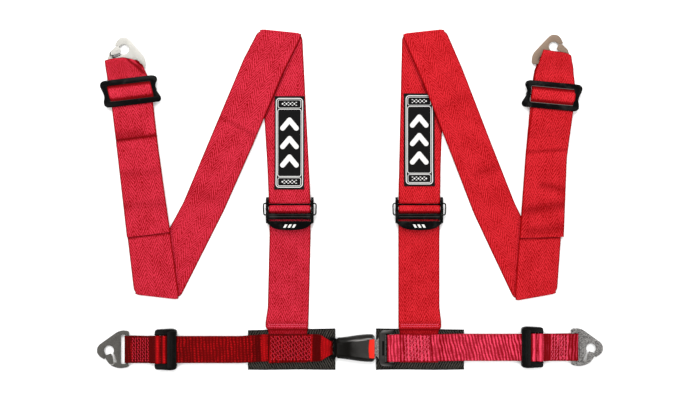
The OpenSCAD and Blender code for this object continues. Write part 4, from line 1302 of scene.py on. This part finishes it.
def carved(mesh, cutters):
    """The mesh with the cutters taken out of it."""
    holder = linked("carved", mesh)
    tools = []
    for cutter in cutters:
        tool = linked("tool", cutter)
        turn_outwards(mesh)
        turn_outwards(cutter)
        step = holder.modifiers.new("cut", "BOOLEAN")
        step.operation = "DIFFERENCE"
        step.solver = "EXACT"
        step.object = tool
        tools.append(tool)
    rim = holder.modifiers.new("rim", "BEVEL")
    rim.width = 0.35
    rim.segments = 2
    rim.limit_method = "ANGLE"
    rim.angle_limit = math.radians(50)
    rim.use_clamp_overlap = True
    graph = bpy.context.evaluated_depsgraph_get()
    out = bpy.data.meshes.new_from_object(holder.evaluated_get(graph))
    for tool in tools + [holder]:
        bpy.data.objects.remove(tool)
    return out


def block(x0, x1, y0, y1, z0, z1):
    corners = [(x0, y0), (x1, y0), (x1, y1), (x0, y1)]
    points = [(x, y, z) for z in (z0, z1) for x, y in corners]
    faces = [(3, 2, 1, 0), (4, 5, 6, 7), (0, 1, 5, 4), (1, 2, 6, 5), (2, 3, 7, 6), (3, 0, 4, 7)]
    return mesh_of("block", points, faces)


def prism(outline, z0, z1):
    n = len(outline)
    points = [(x, y, z) for z in (z0, z1) for x, y in outline]
    faces = [tuple(range(n))[::-1], tuple(range(n, 2 * n))]
    faces += [(k, (k + 1) % n, n + (k + 1) % n, n + k) for k in range(n)]
    return mesh_of("prism", points, faces)


def sloped_top(mesh, base_z):
    """Lowers the cover towards its strap end."""
    for v in mesh.vertices:
        if v.co.z > base_z:
            back = min(1, max(0, (2 - v.co.x) / 28))
            v.co.z = base_z + (v.co.z - base_z) * (1 - 0.42 * back ** 1.8)
    return mesh


def buckle():
    place = Matrix.Translation((0, BUCKLE_Y, 0))
    blade = block(34, 47, -15.3, 15.3, 6.7, 9.9)
    strap_slot = block(-28, -22, -17.3, 17.3, 4.2, 9.5)

    outer = [(0.0, 0.0, 8.6), (0.0, 0.0, 10.5), (0.5, 0.2, 12.4), (2.2, 0.8, 14.8), (4.6, 1.4, 16.8),
             (6.3, 2.0, 18.2), (7.6, 3.0, 18.9), (9.5, 4.5, 19.0)]
    shell = lofted("top", [buckle_ring(*ring) for ring in outer])
    inner = [(2.0, 2.0, 8.0), (2.2, 2.0, 12.0), (6.5, 3.5, 16.6)]
    hollow = sloped_top(lofted("hollow", [buckle_ring(*ring) for ring in inner]), 8.6)
    shell = sloped_top(shell, 8.6)
    press = [(35.4 - 1.5 * math.cos(y / 17.8 * math.pi / 2), y) for y in np.linspace(-17.8, 17.8, 15)]
    seat = prism([(46, -17.8)] + [(46, 17.8)] + press[::-1], 10.7, 21)
    top = carved(shell, [hollow, seat, blade])
    cover = add_object("buckle_upper", top, "buckle_plastic", "left_half", place,
                       ["buckle_top_cover"], sharp=30)
    # Painted light on the cover: its top plateau a little lighter, a bright highlight along the ridge, and a
    # faint lift on the side beyond the ridge.
    x, y, z = places_of(cover)
    y = y - BUCKLE_Y
    ridge_y = BUCKLE_HALF_W + BUCKLE_FLARE * np.clip((x - BUCKLE_X[0]) / 62, 0, 1) ** 1.2 - 6.3
    plateau = 0.085 * between(x, 8, 60, 20) * between(np.abs(y), -1, ridge_y - 1, 1.2) * (z > 14)
    crest = between(y, ridge_y - 0.7, ridge_y + 0.7, 0.5) * between(x, 4, 60, 20) * (z > 14)
    set_painted_light(cover, plateau + 0.8 * crest + 0.02 * between(x, -6, 60, 14) * (y > ridge_y + 0.8))

    outer = [(2.6, 2.4, 0.0), (1.2, 1.1, 0.5), (0.3, 0.3, 1.6), (0.0, 0.0, 3.2), (0.0, 0.0, 8.5)]
    inner = [(2.2, 2.0, 2.0), (2.0, 2.0, 9.0)]
    bottom = carved(lofted("bottom", [buckle_ring(*ring) for ring in outer]),
                    [lofted("hollow", [buckle_ring(*ring) for ring in inner]), blade, strap_slot])
    add_object("buckle_lower", bottom, "buckle_plastic", "left_half", place,
               ["buckle_bottom_cover"], sharp=30)

    press = [(26, -17.3), (43.8, -17.3), (44.6, -16.5), (44.6, 16.5), (43.8, 17.3), (26, 17.3)]
    cap = plate("cap", [rounded(press, 0.6)], 11, 16.8, 0.6)
    button = carved(cap, [block(28, 42, -15.3, 15.3, 10, 14.6)])
    add_object("release_button", button, "button_plastic", "button", place, ["buckle_button"])

    # The steel bracket that the lap strap's loop goes through, with its posts, its stop and its cheeks.
    web = [(38, -17), (38, 17), (-26.3, 17), (-30, 19.5), (-36, 19.5), (-38.6, 16.5), (-38.6, -16.5),
           (-36, -19.5), (-30, -19.5), (-26.3, -17)]
    slot = rounded([(-34.8, -14), (-29.6, -14), (-29.6, 14), (-34.8, 14)], 1.5)
    parts = [plate("web", [rounded(web, 2.5), slot], 4.5, 6.5, 0.4)]
    for end in (-1, 1):
        parts.append(block(-10, -2, end * 14.5 - 1, end * 14.5 + 1, 4.6, 15.2))
    parts.append(block(-24, -22.5, -3, 3, 4.6, 10))
    for end in (-1, 1):
        shoulder = [(-26.5, end * 16.5, 7.4), (-30, end * 18.2, 7.2), (-34, end * 19, 6.6),
                    (-37, end * 17.6, 6.0)]
        parts.append(tube("cheek", curved(shoulder, 5), 1.7, 12, taper=0.5))
    add_object("strap_bracket", merged("bracket", parts), "black_steel", "left_half", place,
               ["buckle_frame"])


def tongue():
    place = Matrix.Translation((0, BUCKLE_Y, 0))
    outline = [(5, -11), (9, -15), (50, -15), (54, -22), (57, -31), (76, -31), (80, -27), (80, 27), (76, 31),
               (57, 31), (54, 22), (50, 15), (9, 15), (5, 11)]
    window = rounded([(10, -7), (18, -7), (18, 7), (10, 7)], 1)
    slot = rounded([(66, -27), (71.5, -27), (71.5, 27), (66, 27)], 1.5)
    add_object("tongue_steel", plate("tongue", [rounded(outline, 2.5), window, slot], 7, 9.6, 0.35),
               "bright_steel", "right_half", place, ["tongue_plate"], "blade_steel")

    cover = rounded([(53, -24), (57.5, -32.5), (79, -33), (81.4, -31), (81.4, -26.2), (66.4, -25.8),
                     (65.4, -25), (65.4, 25), (66.4, 25.8), (81.4, 26.2), (81.4, 31), (79, 33), (57.5, 32.5),
                     (53, 24)], [4, 6, 3, 2, 1, 1, 0.5, 0.5, 1, 1, 2, 3, 6, 4])
    body = plate("cover", [cover], 4.8, 12, 1.5)
    core_outline = [(50, -15), (54, -22), (57, -31.1), (80.2, -31.1), (80.2, 31.1), (57, 31.1),
                    (54, 22), (50, 15)]
    core = plate("core", [rounded(core_outline, 1)], 6.95, 9.65, 0.1)
    recess = block(58.8, 62.8, -13.5, 13.5, 9.9, 14)
    grip = add_object("tongue_grip", carved(body, [core, recess]), "buckle_plastic", "right_half", place,
                      ["tongue_cover"], sharp=30)
    x, y, z = places_of(grip)
    y = y - BUCKLE_Y
    shine = 0.10 * between(x, 54, 64, 2) + 0.22 * (np.abs(y) > 28) * between(x, 58, 76, 6)
    set_painted_light(grip, shine * (z > 10.5))


def inner_works():
    """The parts inside the buckle keep their CAD shape, with a finish of their own."""
    for node in ("buckle_latch_pin", "buckle_latch", "buckle_latch_spring", "buckle_ejector_spring",
                 "buckle_button_springs"):
        dress(node, "bright_steel")
    dress("buckle_ejector", "buckle_plastic")


def dress(node, slot):
    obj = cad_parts[node]
    obj.data.materials.clear()
    obj.data.materials.append(FINISH[slot])


# ---- Stage ----

def stage():
    """A white floor, three lamps and a camera straight above, all in metres."""
    floor_finish = Shader("floor", 0.9)
    floor_finish.set("Base Color", (0.97, 0.97, 0.97, 1))
    floor_finish.set("Specular IOR Level", 0.1)
    mesh = bpy.data.meshes.new("floor")
    radius, sides = 4, 64
    ring = [(radius * math.cos(2 * math.pi * k / sides), radius * math.sin(2 * math.pi * k / sides), -0.0004)
            for k in range(sides)]
    mesh.from_pydata(ring, [], [tuple(range(sides))])
    mesh.materials.append(floor_finish.material)
    linked("floor", mesh)

    world = bpy.data.worlds.new("studio")
    world.use_nodes = True
    back = world.node_tree.nodes["Background"]
    back.inputs["Color"].default_value = (1, 1, 1, 1)
    back.inputs["Strength"].default_value = 0.5
    bpy.context.scene.world = world

    lamps = (("key", (-0.2, 1.7, 1.7), 2.2, 78), ("left_fill", (-1.8, -0.6, 1.7), 1.8, 28),
             ("right_fill", (1.8, -0.6, 1.7), 1.8, 28))
    for name, place, size, power in lamps:
        data = bpy.data.lights.new(name, "AREA")
        data.size = size
        data.energy = power
        lamp = linked(name, data)
        lamp.location = place
        lamp.rotation_euler = (Vector((0, 0, 0)) - Vector(place)).to_track_quat("-Z", "Y").to_euler()

    data = bpy.data.cameras.new("camera")
    height, strap_level, view_width = 1.5, 0.004, 1.288
    data.lens = data.sensor_width * (height - strap_level) / view_width
    data.clip_end = 20
    camera = linked("camera", data)
    camera.location = (0, -0.0013, height)
    bpy.context.scene.camera = camera
    bpy.context.scene.view_settings.view_transform = "Standard"


for side in (0, 1):
    pad(side)
    lower_strap(side)
    shoulder_strap(side)
    lap_strap(side)
    label(side)
    hook(side, "lap", ("hook_steel", "hook_steel_painted_mottled_reflection")[side])
    hook(side, "shoulder", ("hook_steel_painted_bright_reflection", "hook_steel_painted_warm_reflection")[side])
    shoulder_slide(side)
    lap_slide(side)
    adjuster(side)
buckle()
tongue()
inner_works()
stage()
